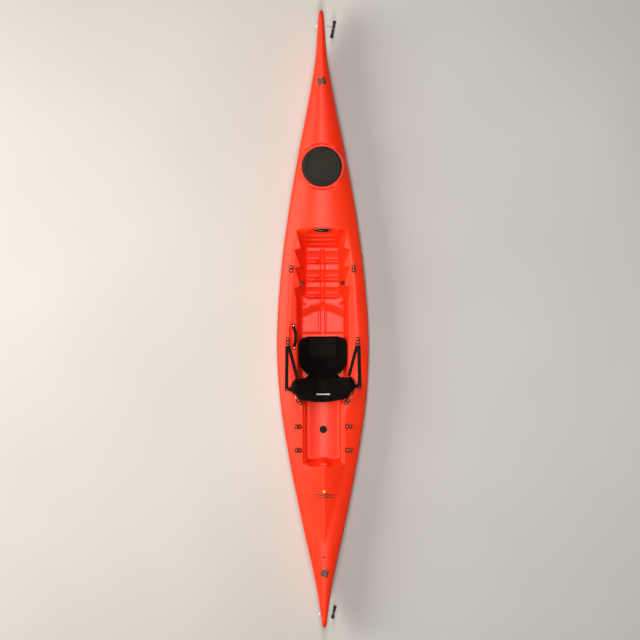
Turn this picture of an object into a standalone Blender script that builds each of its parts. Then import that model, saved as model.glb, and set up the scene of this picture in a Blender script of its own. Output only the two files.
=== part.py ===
"""A single-seat, sit-on-top touring kayak: moulded hull, hatch, seat, toggles and deck fittings.

Metres. +Y runs to the bow, +X to starboard and +Z up. The origin is under the
middle of the hull, at the height of the flat keel.
"""
import math

import bmesh
import bpy
import numpy as np
from mathutils import Matrix, Vector

# ---------------------------------------------------------------- driving dimensions
LENGTH = 4.25
WALL = 0.0045  # moulded skin
GAP = 0.0003  # between pieces that touch
SQUARE_NOSE = 0.2  # share of the nose's width that is left at the very tip
NOSE_START = 2.06  # distance from midship where the noses start to round off
DECK_EDGE = 0.016  # radius of the edge between deck and side
KEEL_FLAT = 0.010  # height cut from the rounded bottom, which leaves the flat keel
CREASE_SLOPE = 0.25  # fall of the deck from the gunwale crease towards the wells

# Curves along the hull, as (Y, value) from stern to bow.
HALF_BEAM = ((-2.06, 0.020), (-1.94, 0.037), (-1.78, 0.066), (-1.45, 0.139), (-0.95, 0.238),
             (-0.58, 0.294), (-0.25, 0.316), (0.20, 0.298), (0.74, 0.232), (1.11, 0.168),
             (1.48, 0.094), (1.80, 0.040), (2.06, 0.020))
SHEER = ((-2.12, 0.290), (-1.50, 0.262), (-0.60, 0.240), (0.0, 0.236), (0.80, 0.246),
         (1.50, 0.277), (2.12, 0.318))
CROWN = ((-2.12, 0.012), (-1.80, 0.030), (-1.10, 0.060), (-0.30, 0.078), (0.60, 0.080),
         (1.10, 0.070), (1.60, 0.045), (2.12, 0.014))
KEEL = ((-2.12, 0.225), (-2.06, 0.145), (-1.90, 0.055), (-1.60, 0.018), (-1.20, 0.0), (1.10, 0.0),
        (1.60, 0.020), (1.90, 0.070), (2.06, 0.165), (2.12, 0.240))
FULLNESS = ((-2.12, 1.5), (-1.40, 1.8), (-0.60, 2.5), (0.50, 2.5), (1.30, 1.8), (2.12, 1.4))
CREASE = ((-0.66, 0.150), (-0.56, 0.185), (-0.50, 0.215), (-0.35, 0.243), (-0.15, 0.245),
          (0.0, 0.236), (0.33, 0.215), (0.47, 0.196), (0.63, 0.176))

# Half-widths of the wells' top edge and of their floor, and the floor's height, as straight runs of (Y, value).
# The foot braces make the edge a saw-tooth: each is where its face starts and ends, and the half-widths there.
FOOT_BRACES = ((0.1385, 0.195, 0.193, 0.150), (0.281, 0.327, 0.187, 0.149), (0.4015, 0.453, 0.193, 0.147))
WELL_EDGE = [(-1.05, 0.130), (-1.00, 0.145), (-0.56, 0.145), (-0.50, 0.152), (-0.40, 0.178), (-0.10, 0.180),
             (0.090, 0.178)]
for face_start, face_end, widest, narrowest in FOOT_BRACES:
    WELL_EDGE += [(face_start, widest), (face_end, narrowest)]
WELL_EDGE += [(0.545, 0.177), (0.575, 0.168), (0.600, 0.150), (0.625, 0.125), (0.640, 0.122)]
BRACE_SLANT = 0.9  # the braces run diagonally down the walls: distance forward for each unit outwards
SLANT_FROM = 0.108  # half-widths between which they do
SLANT_TO = 0.193
WELL_FOOT = ((-1.05, 0.098), (-1.00, 0.114), (-0.56, 0.114), (-0.50, 0.122), (-0.40, 0.148), (-0.10, 0.150),
             (0.110, 0.148), (0.175, 0.118), (0.500, 0.112), (0.600, 0.106), (0.640, 0.100))
WELL_FLOOR = ((-1.045, 0.290), (-0.985, 0.206), (-0.56, 0.206), (-0.54, 0.225), (-0.515, 0.225),
              (-0.47, 0.085), (-0.10, 0.085), (-0.09, 0.072), (0.06, 0.072), (0.115, 0.100),
              (0.145, 0.100), (0.16, 0.080), (0.216, 0.080), (0.224, 0.100), (0.262, 0.100),
              (0.270, 0.080), (0.337, 0.080), (0.345, 0.100), (0.380, 0.100), (0.388, 0.080),
              (0.468, 0.080), (0.476, 0.104), (0.500, 0.104), (0.600, 0.268), (0.635, 0.310))
WELLS = (-1.045, 0.635)  # first and last Y of the wells
BELOW = -0.02  # heights that clear the hull, for cutters
ABOVE = 0.40

# Hatch
HATCH_Y = 1.046
HATCH_LEDGE_Z = 0.312
HATCH_LEDGE_R = 0.152
HATCH_BORE_R = 0.112
HATCH_NECK_R = 0.122
HATCH_NECK_HEIGHT = 0.012
COVER_R = 0.1375
COVER_HEIGHT = 0.018
COVER_SEGMENTS = 48

# Drain plug, scuppers and toggle holes
PLUG_Y = -0.761
PLUG_R = 0.023
PLUG_STEM_R = 0.0125
PLUG_BORE_R = 0.0165
SCUPPER = (0.141, 0.249)
SCUPPER_R = 0.016
VENT_Y = -1.633
CORD_R = 0.003
TOGGLE_HOLE_R = 0.0042

# Pad eyes: a screwed lug, and a ring that stands above the deck
LUG_R = 0.0125
RING_R = 0.0165
RING_HOLE_R = 0.0095
RING_LOW = 0.0090
RING_TOP = 0.0130
LUG_BACK = 0.035  # from the middle of the ring's far bar back to the lug's screw
RING_BACK = 0.013
# (name, X and Y of the ring's far bar, direction from lug to ring), for the starboard side
PAD_EYES = (("footwell", 0.215, 0.323, (0.0, -1.0)),
            ("seat_front", 0.240, -0.171, (0.0, -1.0)),
            ("seat_rear", 0.179, -0.547, (0.62, 0.785)),
            ("tank_front", 0.150, -0.735, (-1.0, 0.0)),
            ("tank_rear", 0.150, -0.898, (-1.0, 0.0)))

# Snap hooks: a wire loop in an upright plane, with a sprung gate along its top
WIRE_R = 0.002
HOOK_LOW = 0.0062
HOOK_HIGH = 0.0215
HOOK_BACK = -0.002  # from the ring's bar to the middle of the hook's front bend
HOOK_LENGTH = 0.030
GATE_START = 0.0085

# Seat
SEAT_FLOOR = 0.085
# Y, half-width of the pad's top, and share of its full height
PAD_ROWS = ((-0.112, 0.110, 0.35), (-0.122, 0.143, 0.60), (-0.140, 0.160, 0.85), (-0.180, 0.168, 1.0),
            (-0.245, 0.171, 1.0), (-0.300, 0.163, 0.95), (-0.350, 0.140, 0.75), (-0.385, 0.112, 0.50),
            (-0.397, 0.092, 0.38))
# half of the pad's cross-section: shares of its top's half-width, and heights, from underside to top
PAD_SECTION = ((0.84, 0.0), (0.885, 0.016), (0.975, 0.100), (1.0, 0.128), (0.955, 0.134), (0.80, 0.080),
               (0.58, 0.046), (0.2, 0.036))
BACK_FOOT = (-0.405, 0.135)  # Y and Z of the backrest's lower front edge
BACK_TOP = (-0.548, 0.450)
BACK_PAD_THICK = 0.026
BACK_BOARD_THICK = 0.005
BACK_LAYER_GAP = 0.0048  # pad and board are both warped sheets
# (height share, half-width), from the foot of the backrest to its top
BACK_ROWS = ((0.0, 0.128), (0.22, 0.136), (0.42, 0.150), (0.56, 0.204), (0.66, 0.224), (0.78, 0.212),
             (0.90, 0.180), (1.0, 0.140))
WING_X = 0.185  # where each wing of the backrest reaches furthest forward, and how far
WING_REACH = 0.096
WING_SHARE = 0.62  # share of the backrest's height at which it does
STRAP_THICK = 0.002

COLOURS = {
    "hull_plastic": ((0.82, 0.050, 0.016), 0.38, 0.0),
    "black_rubber": ((0.030, 0.026, 0.022), 0.6, 0.0),
    "black_plastic": ((0.012, 0.012, 0.013), 0.4, 0.0),
    "webbing": ((0.010, 0.010, 0.012), 0.8, 0.0),
    "seat_fabric": ((0.012, 0.013, 0.014), 0.85, 0.0),
    "brass": ((0.80, 0.58, 0.25), 0.3, 1.0),
    "steel": ((0.75, 0.74, 0.72), 0.3, 1.0),
    "cord": ((0.85, 0.85, 0.83), 0.7, 0.0),
    "badge": ((0.02, 0.02, 0.02), 0.3, 0.0),
    "patch": ((0.8, 0.8, 0.78), 0.7, 0.0),
}


# ---------------------------------------------------------------- small tools
def clear_scene():
    for obj in list(bpy.data.objects):
        bpy.data.objects.remove(obj)


def material(name):
    found = bpy.data.materials.get(name)
    if found:
        return found
    colour, roughness, metallic = COLOURS[name]
    made = bpy.data.materials.new(name)
    made.use_nodes = True
    shader = made.node_tree.nodes["Principled BSDF"]
    shader.inputs["Base Color"].default_value = (*colour, 1.0)
    shader.inputs["Roughness"].default_value = roughness
    shader.inputs["Metallic"].default_value = metallic
    return made


def link(name, data, finish, parent=None, place=None):
    obj = bpy.data.objects.new(name, data)
    bpy.context.scene.collection.objects.link(obj)
    if data is not None and finish:
        data.materials.append(material(finish))
    if place is not None:
        obj.matrix_world = place
    if parent is not None:
        obj.parent = parent
        obj.matrix_parent_inverse = parent.matrix_world.inverted()
    return obj


def axis_empty(name, place, parent=None):
    empty = bpy.data.objects.new(name, None)
    bpy.context.scene.collection.objects.link(empty)
    empty.matrix_world = Matrix.Translation(place)
    if parent is not None:
        empty.parent = parent
        empty.matrix_parent_inverse = parent.matrix_world.inverted()
    bpy.context.view_layer.update()
    return empty


def mesh_of(name, points, faces, smooth=True):
    mesh = bpy.data.meshes.new(name)
    mesh.from_pydata([tuple(p) for p in points], [], faces)
    work = bmesh.new()
    work.from_mesh(mesh)
    bmesh.ops.recalc_face_normals(work, faces=work.faces)
    work.to_mesh(mesh)
    work.free()
    if smooth:
        mesh.shade_smooth()
        mesh.set_sharp_from_angle(angle=math.radians(35))
    return mesh


def lathe(name, profile, segments, smooth=True):
    """A solid turned around Z from a closed outline of (radius, height)."""
    points = []
    rings = []
    for radius, height in profile:
        if radius == 0.0:
            rings.append([len(points)])
            points.append((0.0, 0.0, height))
            continue
        rings.append(list(range(len(points), len(points) + segments)))
        for k in range(segments):
            angle = math.tau * k / segments
            points.append((radius * math.cos(angle), radius * math.sin(angle), height))
    faces = []
    for a, b in zip(rings, rings[1:] + rings[:1]):
        if len(a) == 1 and len(b) == 1:
            continue
        for k in range(segments):
            n = (k + 1) % segments
            corners = [a[k % len(a)], a[n % len(a)], b[n % len(b)], b[k % len(b)]]
            faces.append(tuple(dict.fromkeys(corners)))
    return mesh_of(name, points, faces, smooth)


def loft(name, rings, smooth=True):
    """A closed solid through rings of equal length, with flat ends."""
    size = len(rings[0])
    points = [p for ring in rings for p in ring]
    faces = []
    for r in range(len(rings) - 1):
        for k in range(size):
            n = (k + 1) % size
            faces.append((r * size + k, r * size + n, (r + 1) * size + n, (r + 1) * size + k))
    faces.append(tuple(range(size)))
    last = (len(rings) - 1) * size
    faces.append(tuple(range(last, last + size)))
    return mesh_of(name, points, faces, smooth)


def slab(name, outline, low, high, smooth=True):
    """An outline of (x, y), extruded from low to high."""
    rings = [[(x, y, z) for x, y in outline] for z in (low, high)]
    return loft(name, rings, smooth)


def wire(name, points, radius, finish, sides=2, parent=None, place=None):
    curve = bpy.data.curves.new(name, "CURVE")
    curve.dimensions = "3D"
    curve.bevel_depth = radius
    curve.bevel_resolution = sides
    curve.use_fill_caps = True
    spline = curve.splines.new("POLY")
    spline.points.add(len(points) - 1)
    for point, co in zip(spline.points, points):
        point.co = (*co, 1.0)
    return link(name, curve, finish, parent, place)


def ribbon(name, path, across, width, thick):
    """A flat strap along path; across gives its sideways direction at each point."""
    rings = []
    for i, point in enumerate(path):
        before = Vector(path[max(i - 1, 0)])
        after = Vector(path[min(i + 1, len(path) - 1)])
        along = (after - before).normalized()
        side = Vector(across[i] if isinstance(across[0], tuple) else across)
        side = (side - along * side.dot(along)).normalized()
        up = side.cross(along)
        ring = []
        for s, t in ((-1, -1), (1, -1), (1, 1), (-1, 1)):
            ring.append(Vector(point) + side * (s * width / 2) + up * (t * thick / 2))
        rings.append(ring)
    return loft(name, rings, smooth=False)


def boolean(obj, cutter, operation, solver="EXACT"):
    cutter.hide_render = True
    cutter.display_type = "WIRE"
    cut = obj.modifiers.new(f"{operation.lower()}_{cutter.name}", "BOOLEAN")
    cut.operation = operation
    cut.solver = solver
    cut.object = cutter


def cylinder(name, radius, low, high, place, segments=32, along=None):
    data = lathe(name, [(0.0, low), (radius, low), (radius, high), (0.0, high)], segments)
    turn = Matrix.Identity(4)
    if along is not None:
        turn = Vector((0, 0, 1)).rotation_difference(Vector(along)).to_matrix().to_4x4()
    return link(name, data, None, place=Matrix.Translation(place) @ turn)


# ---------------------------------------------------------------- the hull's shape
def smooth_curve(points, y):
    """A smooth curve through (y, value) points, flat beyond its ends."""
    knots = np.array([p[0] for p in points])
    values = np.array([p[1] for p in points])
    slopes = np.gradient(values, knots)
    y = np.clip(y, knots[0], knots[-1])
    k = np.clip(np.searchsorted(knots, y, side="right") - 1, 0, len(knots) - 2)
    step = knots[k + 1] - knots[k]
    t = (y - knots[k]) / step
    start = values[k] + t * t * (3 - 2 * t) * (values[k + 1] - values[k])
    return start + step * t * (1 - t) * ((1 - t) * slopes[k] - t * slopes[k + 1])


def straight_curve(points, y):
    return np.interp(y, [p[0] for p in points], [p[1] for p in points])


def nose_round(y):
    """1 along the hull, falling to SQUARE_NOSE as each nose rounds off."""
    past = np.clip((np.abs(y) - NOSE_START) / (LENGTH / 2 - NOSE_START), 0, 1)
    return np.sqrt(1 - (1 - SQUARE_NOSE**2) * past**2)


def half_beam(y):
    return smooth_curve(HALF_BEAM, y) * nose_round(y)


def sheer(y):
    middle = np.where(y > 0, 0.262, 0.235)  # height of each nose's tip
    return middle + (smooth_curve(SHEER, y) - middle) * nose_round(y)


def keel(y):
    middle = np.where(y > 0, 0.262, 0.235)
    return middle + (smooth_curve(KEEL, np.clip(y, -NOSE_START, NOSE_START)) - middle) * nose_round(y)


def edge_radius(y):
    return np.minimum(DECK_EDGE, 0.25 * half_beam(y))


def crowned_deck(x, y):
    """The deck without creases or wells: a crown across the beam, with a soft ridge."""
    beam = half_beam(y)
    share = np.clip(np.abs(x) / beam, 0, 1)
    crown = smooth_curve(CROWN, y) * nose_round(y)
    radius = edge_radius(y)
    past = np.clip((np.abs(x) - (beam - radius)) / radius, 0, 1)
    edge = radius * (1 - np.sqrt(1 - past**2))
    return sheer(y) + crown * (0.88 * (1 - share**2.6) + 0.12 * (1 - share)) - edge


def crease(y):
    return smooth_curve(CREASE, y)


def dish_share(y):
    """1 beside the cockpit, where the deck falls inwards from the crease."""
    return straight_curve(((-0.66, 0.0), (-0.52, 1.0), (0.45, 1.0), (0.63, 0.0)), y)


def stern_spine(x, y):
    """The raised, roof-shaped spine behind the tank well."""
    half = np.interp(y, (-1.56, -1.03), (0.0, 0.143)) * (y < -1.0)
    return 0.18 * np.clip(half - np.abs(x), 0, None)


def deck(x, y):
    inside = np.clip(crease(y) - np.abs(x), 0, None)
    dished = crowned_deck(np.maximum(np.abs(x), crease(y)), y) - CREASE_SLOPE * inside
    share = dish_share(y)
    return (1 - share) * crowned_deck(x, y) + share * dished + stern_spine(x, y)


def bottom(x_share, y):
    """Height of the bottom at a share of the half-beam, 0 on the keel to 1 at the sheer."""
    power = smooth_curve(FULLNESS, y)
    top = sheer(y) - edge_radius(y)
    low = keel(y)
    raised = low + (top - low) * (1 - (1 - x_share**power) ** (1 / power))
    cut = KEEL_FLAT * (1 - x_share) * nose_round(y)
    return np.maximum(raised - cut, 0.0)


# ---------------------------------------------------------------- hull
def slanted(x, y, beam):
    """Where a cross-section's point lies along Y: on the foot well's walls it moves forward."""
    within = straight_curve(((0.02, 0.0), (0.13, 1.0), (0.545, 1.0), (0.66, 0.0)), y)
    past = np.clip((x - SLANT_TO) / (0.9 * (beam - SLANT_TO)), 0, 1) if x > SLANT_TO else 0.0
    share = 1 - past * past * (3 - 2 * past)
    return y + BRACE_SLANT * (np.clip(x, SLANT_FROM, SLANT_TO) - SLANT_FROM) * within * share


def hull_ring(y, skin, bottom_shares):
    """One closed cross-section of the hull, moved inwards by skin."""
    beam = float(half_beam(y)) - skin
    radius = min(float(edge_radius(y)), 0.3 * beam)
    in_wells = WELLS[0] - skin <= y <= WELLS[1] + skin
    near = (y - skin, y, y + skin)
    edge = max(float(straight_curve(WELL_EDGE, v)) for v in near) + skin
    edge = min(edge, 0.74 * beam)
    foot = max(float(straight_curve(WELL_FOOT, v)) for v in near) + skin
    foot = min(foot, max(0.8 * edge, edge - 0.030))
    fold = min(max(float(crease(y)), edge + 0.02), 0.82 * beam)
    across = [beam - radius, fold, (fold + edge) / 2, edge, foot, 0.0]
    along = [y] + [float(slanted(x, y, beam)) for x in across[1:]]
    heights = [float(deck(x, v)) - skin for x, v in zip(across, along)]
    if in_wells:
        floor = min(float(straight_curve(WELL_FLOOR, v)) for v in near) - skin
        heights[4] = min(heights[4], floor)
        heights[5] = min(heights[5], floor)
    right = []
    for share in bottom_shares:
        low = float(bottom(share, y)) + (skin if share < 1 else 0.0)
        right.append((share * beam, y, low))
    right += list(zip(across, along, heights))
    left = [(-x, v, z) for x, v, z in reversed(right[1:-1])]
    return right + left


def stations(first, last, step):
    """Cross-sections at even steps, and at each corner of the wells."""
    ys = set(np.round(np.arange(first, last, step), 4)) | {last}
    corners = [p[0] for p in (*WELL_FLOOR, *WELL_EDGE, *WELL_FOOT)]
    corners = [v for v in corners if first < v < last]
    ys = [v for v in ys if all(abs(v - c) > 0.02 for c in corners)]
    kept = []
    for v in sorted(set(ys + corners)):
        if not kept or v - kept[-1] > 0.004:
            kept.append(v)
    return kept


def eye_footprint(x, y, heading):
    """Points under a pad eye and its hook, which the deck has to stay below."""
    ahead = Vector(heading).normalized()
    side = Vector((-ahead.y, ahead.x))
    for along in (-0.047, -0.035, -0.02, 0.0, 0.02, 0.038):
        for across in (-0.016, 0.0, 0.016):
            spot = Vector((x, y)) + ahead * along + side * across
            yield spot.x, spot.y


def eye_height(x, y, heading):
    return max(float(deck(*spot)) for spot in eye_footprint(x, y, heading)) + 0.0015


def eye_places():
    """Every pad eye's name, ring position, height and heading, on both sides."""
    for name, x, y, heading in PAD_EYES:
        height = eye_height(x, y, heading)
        for side, sign in (("starboard", 1), ("port", -1)):
            yield f"{name}_{side}", Vector((sign * x, y, height)), Vector((sign * heading[0], heading[1], 0))


def make_hull():
    shares = (0.0, 0.33, 0.62, 0.84, 0.96, 1.0)
    tip = LENGTH / 2
    noses = [tip - (tip - NOSE_START) * (1 - e) / 0.03 for e in (0.985, 0.994, 1.0)]
    ys = [-v for v in reversed(noses)] + stations(-1.98, 1.98, 0.11) + noses
    outer = [hull_ring(y, 0.0, shares) for y in ys]
    hull = link("hull", loft("hull", outer), "hull_plastic")

    # moulded seats for the pad eyes, the hatch's ledge and its neck
    for name, spot, heading in eye_places():
        lug = spot - heading.normalized() * LUG_BACK
        seat = cylinder(f"seat_{name}", LUG_R + 0.003, -0.03, 0.0, lug, 12)
        boolean(hull, seat, "UNION", "MANIFOLD")
    middle = Vector((0, HATCH_Y, 0))
    ledge = cylinder("hatch_ledge", HATCH_LEDGE_R, HATCH_LEDGE_Z - 0.05, ABOVE, middle, 36)
    boolean(hull, ledge, "UNION", "MANIFOLD")
    recess = cylinder("hatch_recess", HATCH_LEDGE_R + 0.004, HATCH_LEDGE_Z, ABOVE + 0.1, middle, 36)
    boolean(hull, recess, "DIFFERENCE", "MANIFOLD")

    # the hollow inside, which leaves the scuppers' tubes standing
    inner_ys = stations(-1.93, 1.90, 0.13)
    inner = [hull_ring(y, WALL, (0.0, 0.62, 0.84, 0.96, 1.0)) for y in inner_ys]
    hollow = link("hollow", loft("hollow", inner), None)
    under_ledge = cylinder("under_ledge", HATCH_LEDGE_R + 0.010, HATCH_LEDGE_Z - WALL, ABOVE, middle, 36)
    boolean(hollow, under_ledge, "DIFFERENCE", "MANIFOLD")
    scuppers = [Vector((side * SCUPPER[0], SCUPPER[1], 0)) for side in (-1, 1)]
    for k, spot in enumerate(scuppers):
        tube = cylinder(f"scupper_tube_{k}", SCUPPER_R + WALL, BELOW, ABOVE, spot, 16)
        boolean(hollow, tube, "DIFFERENCE", "MANIFOLD")
    boolean(hull, hollow, "DIFFERENCE", "MANIFOLD")

    for k, spot in enumerate(scuppers):
        hole = cylinder(f"scupper_hole_{k}", SCUPPER_R, BELOW, ABOVE, spot, 16)
        boolean(hull, hole, "DIFFERENCE", "MANIFOLD")
    neck = cylinder("hatch_neck", HATCH_NECK_R, HATCH_LEDGE_Z - 0.032, HATCH_LEDGE_Z + HATCH_NECK_HEIGHT, middle, 36)
    boolean(hull, neck, "UNION", "MANIFOLD")
    bore = cylinder("hatch_bore", HATCH_BORE_R, HATCH_LEDGE_Z - 0.13, ABOVE, middle, 36)
    boolean(hull, bore, "DIFFERENCE", "MANIFOLD")
    plug_bore = cylinder("plug_bore", PLUG_BORE_R, -0.03, 0.03, Vector((0, PLUG_Y, tank_floor_top())), 24)
    boolean(hull, plug_bore, "DIFFERENCE", "MANIFOLD")
    for end in ("bow", "stern"):
        spot = toggle_hole(end)
        hole = cylinder(f"{end}_hole", TOGGLE_HOLE_R, -0.06, 0.06, spot, 12, along=(1, 0, 0))
        boolean(hull, hole, "DIFFERENCE", "MANIFOLD")
    return hull


# ---------------------------------------------------------------- hatch, plug, badge, vent
def make_hatch_cover():
    axis = axis_empty("hatch_axis", (0, HATCH_Y, HATCH_LEDGE_Z))
    under = HATCH_NECK_HEIGHT + GAP
    skirt = HATCH_NECK_R + 0.0012
    top = COVER_HEIGHT
    profile = [(0.0, top), (COVER_R - 0.010, top), (COVER_R - 0.003, top - 0.003), (COVER_R, top - 0.009),
               (COVER_R, GAP), (skirt, GAP), (skirt, under), (0.0, under)]
    cover = lathe("hatch_cover", profile, COVER_SEGMENTS)
    link("hatch_cover", cover, "black_rubber", axis, Matrix.Translation((0, HATCH_Y, HATCH_LEDGE_Z)))


def tank_floor_top():
    return float(straight_curve(WELL_FLOOR, PLUG_Y))


def make_drain_plug():
    """A flanged bush in the hull, a sealing ring, and a screw plug with a bar grip."""
    floor = tank_floor_top()
    place = Matrix.Translation((0, PLUG_Y, floor))
    flange = 0.0025
    tube = PLUG_BORE_R - GAP
    throat = PLUG_STEM_R + 0.0006
    bush = [(throat, flange + GAP), (PLUG_R + 0.003, flange + GAP), (PLUG_R + 0.003, GAP), (tube, GAP),
            (tube, -0.018), (throat, -0.018)]
    link("plug_bush", lathe("plug_bush", bush, 20), "black_plastic", None, place)

    # the ring rises with the plug, which also turns
    rise = axis_empty("plug_rise_axis", (0, PLUG_Y, floor))
    ring_low = flange + 2 * GAP
    ring_high = ring_low + 0.0022
    ring = [(0.0150, ring_high), (0.0200, ring_high), (0.0200, ring_low), (0.0150, ring_low)]
    link("plug_gasket", lathe("plug_gasket", ring, 20), "black_rubber", rise, place)

    turn = axis_empty("plug_turn_axis", (0, PLUG_Y, floor), rise)
    under = ring_high + GAP
    crown = under + 0.005
    head = [(0.0, crown), (PLUG_R - 0.003, crown), (PLUG_R, crown - 0.002), (PLUG_R, under),
            (PLUG_STEM_R, under), (PLUG_STEM_R, -0.016), (0.0, -0.016)]
    plug = link("drain_plug", lathe("drain_plug", head, 24), "black_plastic", turn, place)
    grip = slab("plug_grip", [(-0.019, -0.004), (0.019, -0.004), (0.019, 0.004), (-0.019, 0.004)],
                crown - 0.002, crown + 0.009, smooth=False)
    bar = link("plug_grip", grip, None, turn, place @ Matrix.Rotation(math.radians(-40), 4, "Z"))
    boolean(plug, bar, "UNION")


def ellipse(half_x, half_y, count):
    return [(half_x * math.cos(math.tau * k / count), half_y * math.sin(math.tau * k / count))
            for k in range(count)]


def make_badge():
    """An oval plate on the sloping lip at the front of the foot well."""
    lean = math.radians(48)
    place = Matrix.Translation((0, 0.612, 0.297)) @ Matrix.Rotation(lean, 4, "X")
    link("badge_plate", slab("badge_plate", ellipse(0.058, 0.020, 24), 0.0, 0.003), "badge", None, place)


def make_vent():
    height = float(deck(0.0, VENT_Y)) + 0.0008
    profile = [(0.0, 0.003), (0.0045, 0.003), (0.006, 0.0015), (0.006, 0.0), (0.0, 0.0)]
    link("stern_vent", lathe("stern_vent", profile, 12), "black_plastic", None,
         Matrix.Translation((0, VENT_Y, height)))


# ---------------------------------------------------------------- carry toggles
TOGGLES = {
    # hole, end beads' X, centre of the handle, its direction, length and radius
    "bow": ((0.0, 2.0145, 0.275), (0.030, -0.027), (0.083, 2.002, 0.205), (0.20, 0.98, 0.0), 0.122, 0.0125),
    "stern": ((0.0, -2.028, 0.255), (0.030, -0.027), (0.066, -2.026, 0.190), (0.22, 0.975, 0.0), 0.092, 0.0125),
}


def toggle_hole(end):
    return Vector(TOGGLES[end][0])


def bezier(points, t):
    a, b, c, d = (Vector(p) for p in points)
    return a * (1 - t) ** 3 + b * 3 * t * (1 - t) ** 2 + c * 3 * t * t * (1 - t) + d * t**3


def make_toggle(end):
    hole, (near_x, far_x), centre, heading, length, radius = TOGGLES[end]
    hole = Vector(hole)
    centre = Vector(centre)
    across = Matrix.Rotation(math.radians(90), 4, "Y")
    bead = [(TOGGLE_HOLE_R, 0.006), (0.0060, 0.006), (0.0085, 0.003), (0.0085, -0.003), (0.0060, -0.006),
            (TOGGLE_HOLE_R, -0.006)]
    beam = float(half_beam(hole.y))
    for side, sign in (("starboard", 1), ("port", -1)):
        spot = hole + Vector((sign * (beam + 0.0085), 0, 0))
        link(f"{end}_bead_{side}", lathe(f"{end}_bead_{side}", bead, 12), "cord", None,
             Matrix.Translation(spot) @ across)
    pivot = hole + Vector((beam + 0.016, 0, 0))
    swing = axis_empty(f"{end}_toggle_axis", pivot)
    along = Vector(heading).normalized()
    turn = Vector((0, 0, 1)).rotation_difference(along).to_matrix().to_4x4()
    half = length / 2
    handle = [(0.0, half), (radius * 0.7, half - 0.001), (radius, half - 0.006), (radius, half - 0.018),
              (radius * 0.8, half - 0.026), (radius * 0.8, 0.010 - half + 0.016), (radius, 0.018 - half),
              (radius, 0.006 - half), (radius * 0.7, 0.001 - half), (0.0, -half)]
    link(f"{end}_toggle_handle", lathe(f"{end}_toggle_handle", handle, 16), "black_plastic", swing,
         Matrix.Translation(centre) @ turn)
    top = centre + Vector((0, 0, radius * 0.8 + 0.0012))
    route = [pivot, pivot + Vector((0.022, 0, 0.002)), top + Vector((0, 0, 0.035)), top]
    points = [bezier(route, k / 12) for k in range(13)]
    wire(f"{end}_toggle_cord", points, CORD_R, "cord", 2, swing)
    # the cord inside the nose, from bead to bead
    inside = [hole + Vector((x, 0, 0)) for x in (beam + 0.0150, 0.0, -beam - 0.0150)]
    wire(f"{end}_through_cord", inside, CORD_R, "cord", 2)


# ---------------------------------------------------------------- pad eyes and hooks
def eye_frame(spot, heading):
    ahead = heading.normalized()
    side = Vector((-ahead.y, ahead.x, 0))
    turn = Matrix((ahead, side, (0, 0, 1))).transposed().to_4x4()
    return Matrix.Translation(spot) @ turn


def make_pad_eye(name, spot, heading):
    """A lug, with its screw's head, and a flat ring joined to it, raised above the deck."""
    place = eye_frame(spot, heading)
    ring = [(RING_HOLE_R, RING_TOP), (RING_R, RING_TOP), (RING_R, RING_LOW), (RING_HOLE_R, RING_LOW)]
    eye = link(f"pad_eye_{name}", lathe(f"pad_eye_{name}", ring, 18), "black_plastic", None,
               place @ Matrix.Translation((-RING_BACK, 0, 0)))
    profile = [(0.0, RING_TOP - 0.0015), (LUG_R - 0.001, RING_TOP - 0.0015), (LUG_R, RING_TOP - 0.003),
               (LUG_R, GAP), (0.0, GAP)]
    lug = link(f"lug_{name}", lathe(f"lug_{name}", profile, 16), None, None,
               place @ Matrix.Translation((-LUG_BACK, 0, 0)))
    boolean(eye, lug, "UNION")
    head = [(0.0, 0.0022), (0.0030, 0.0018), (0.0050, 0.0), (0.0, 0.0)]
    low = RING_TOP - 0.0015 + GAP
    link(f"eye_screw_{name}", lathe(f"eye_screw_{name}", head, 10), "brass", None,
         place @ Matrix.Translation((-LUG_BACK, 0, low)))


def make_hook(name, spot, heading):
    """A snap hook round the ring's bar, and its gate, hinged at the far end."""
    place = eye_frame(spot, heading)
    middle = (HOOK_LOW + HOOK_HIGH) / 2
    bend = (HOOK_HIGH - HOOK_LOW) / 2
    points = [(GATE_START - 0.0025, 0, HOOK_HIGH)]
    front = HOOK_BACK
    for k in range(7):
        angle = math.radians(90 + 30 * k)
        points.append((front + bend * math.cos(angle), 0, middle + bend * math.sin(angle)))
    for k in range(6):
        angle = math.radians(-90 + 30 * k)
        points.append((HOOK_LENGTH + bend * math.cos(angle), 0, middle + bend * math.sin(angle)))
    wire(f"hook_{name}", points, WIRE_R, "brass", 1, None, place)
    pivot = place @ Vector((HOOK_LENGTH - 0.001, 0, HOOK_HIGH))
    axis = axis_empty(f"gate_axis_{name}", pivot)
    gate = [(HOOK_LENGTH - 0.001, 0, HOOK_HIGH), (HOOK_LENGTH - 0.012, 0, HOOK_HIGH), (GATE_START, 0, HOOK_HIGH)]
    wire(f"gate_{name}", gate, WIRE_R * 0.8, "steel", 1, axis, place)


# ---------------------------------------------------------------- seat
def make_seat_pad():
    """A pad between the well's walls, whose sides climb the walls. Its sections lie across the boat."""
    low = SEAT_FLOOR + GAP
    rings = []
    for y, half, rise in PAD_ROWS:
        right = [(share * half, y, low + rise * height) for share, height in PAD_SECTION]
        left = [(-x, y, z) for x, y, z in reversed(right)]
        rings.append(right + left)
    link("seat_pad", loft("seat_pad", rings), "seat_fabric")


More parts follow.
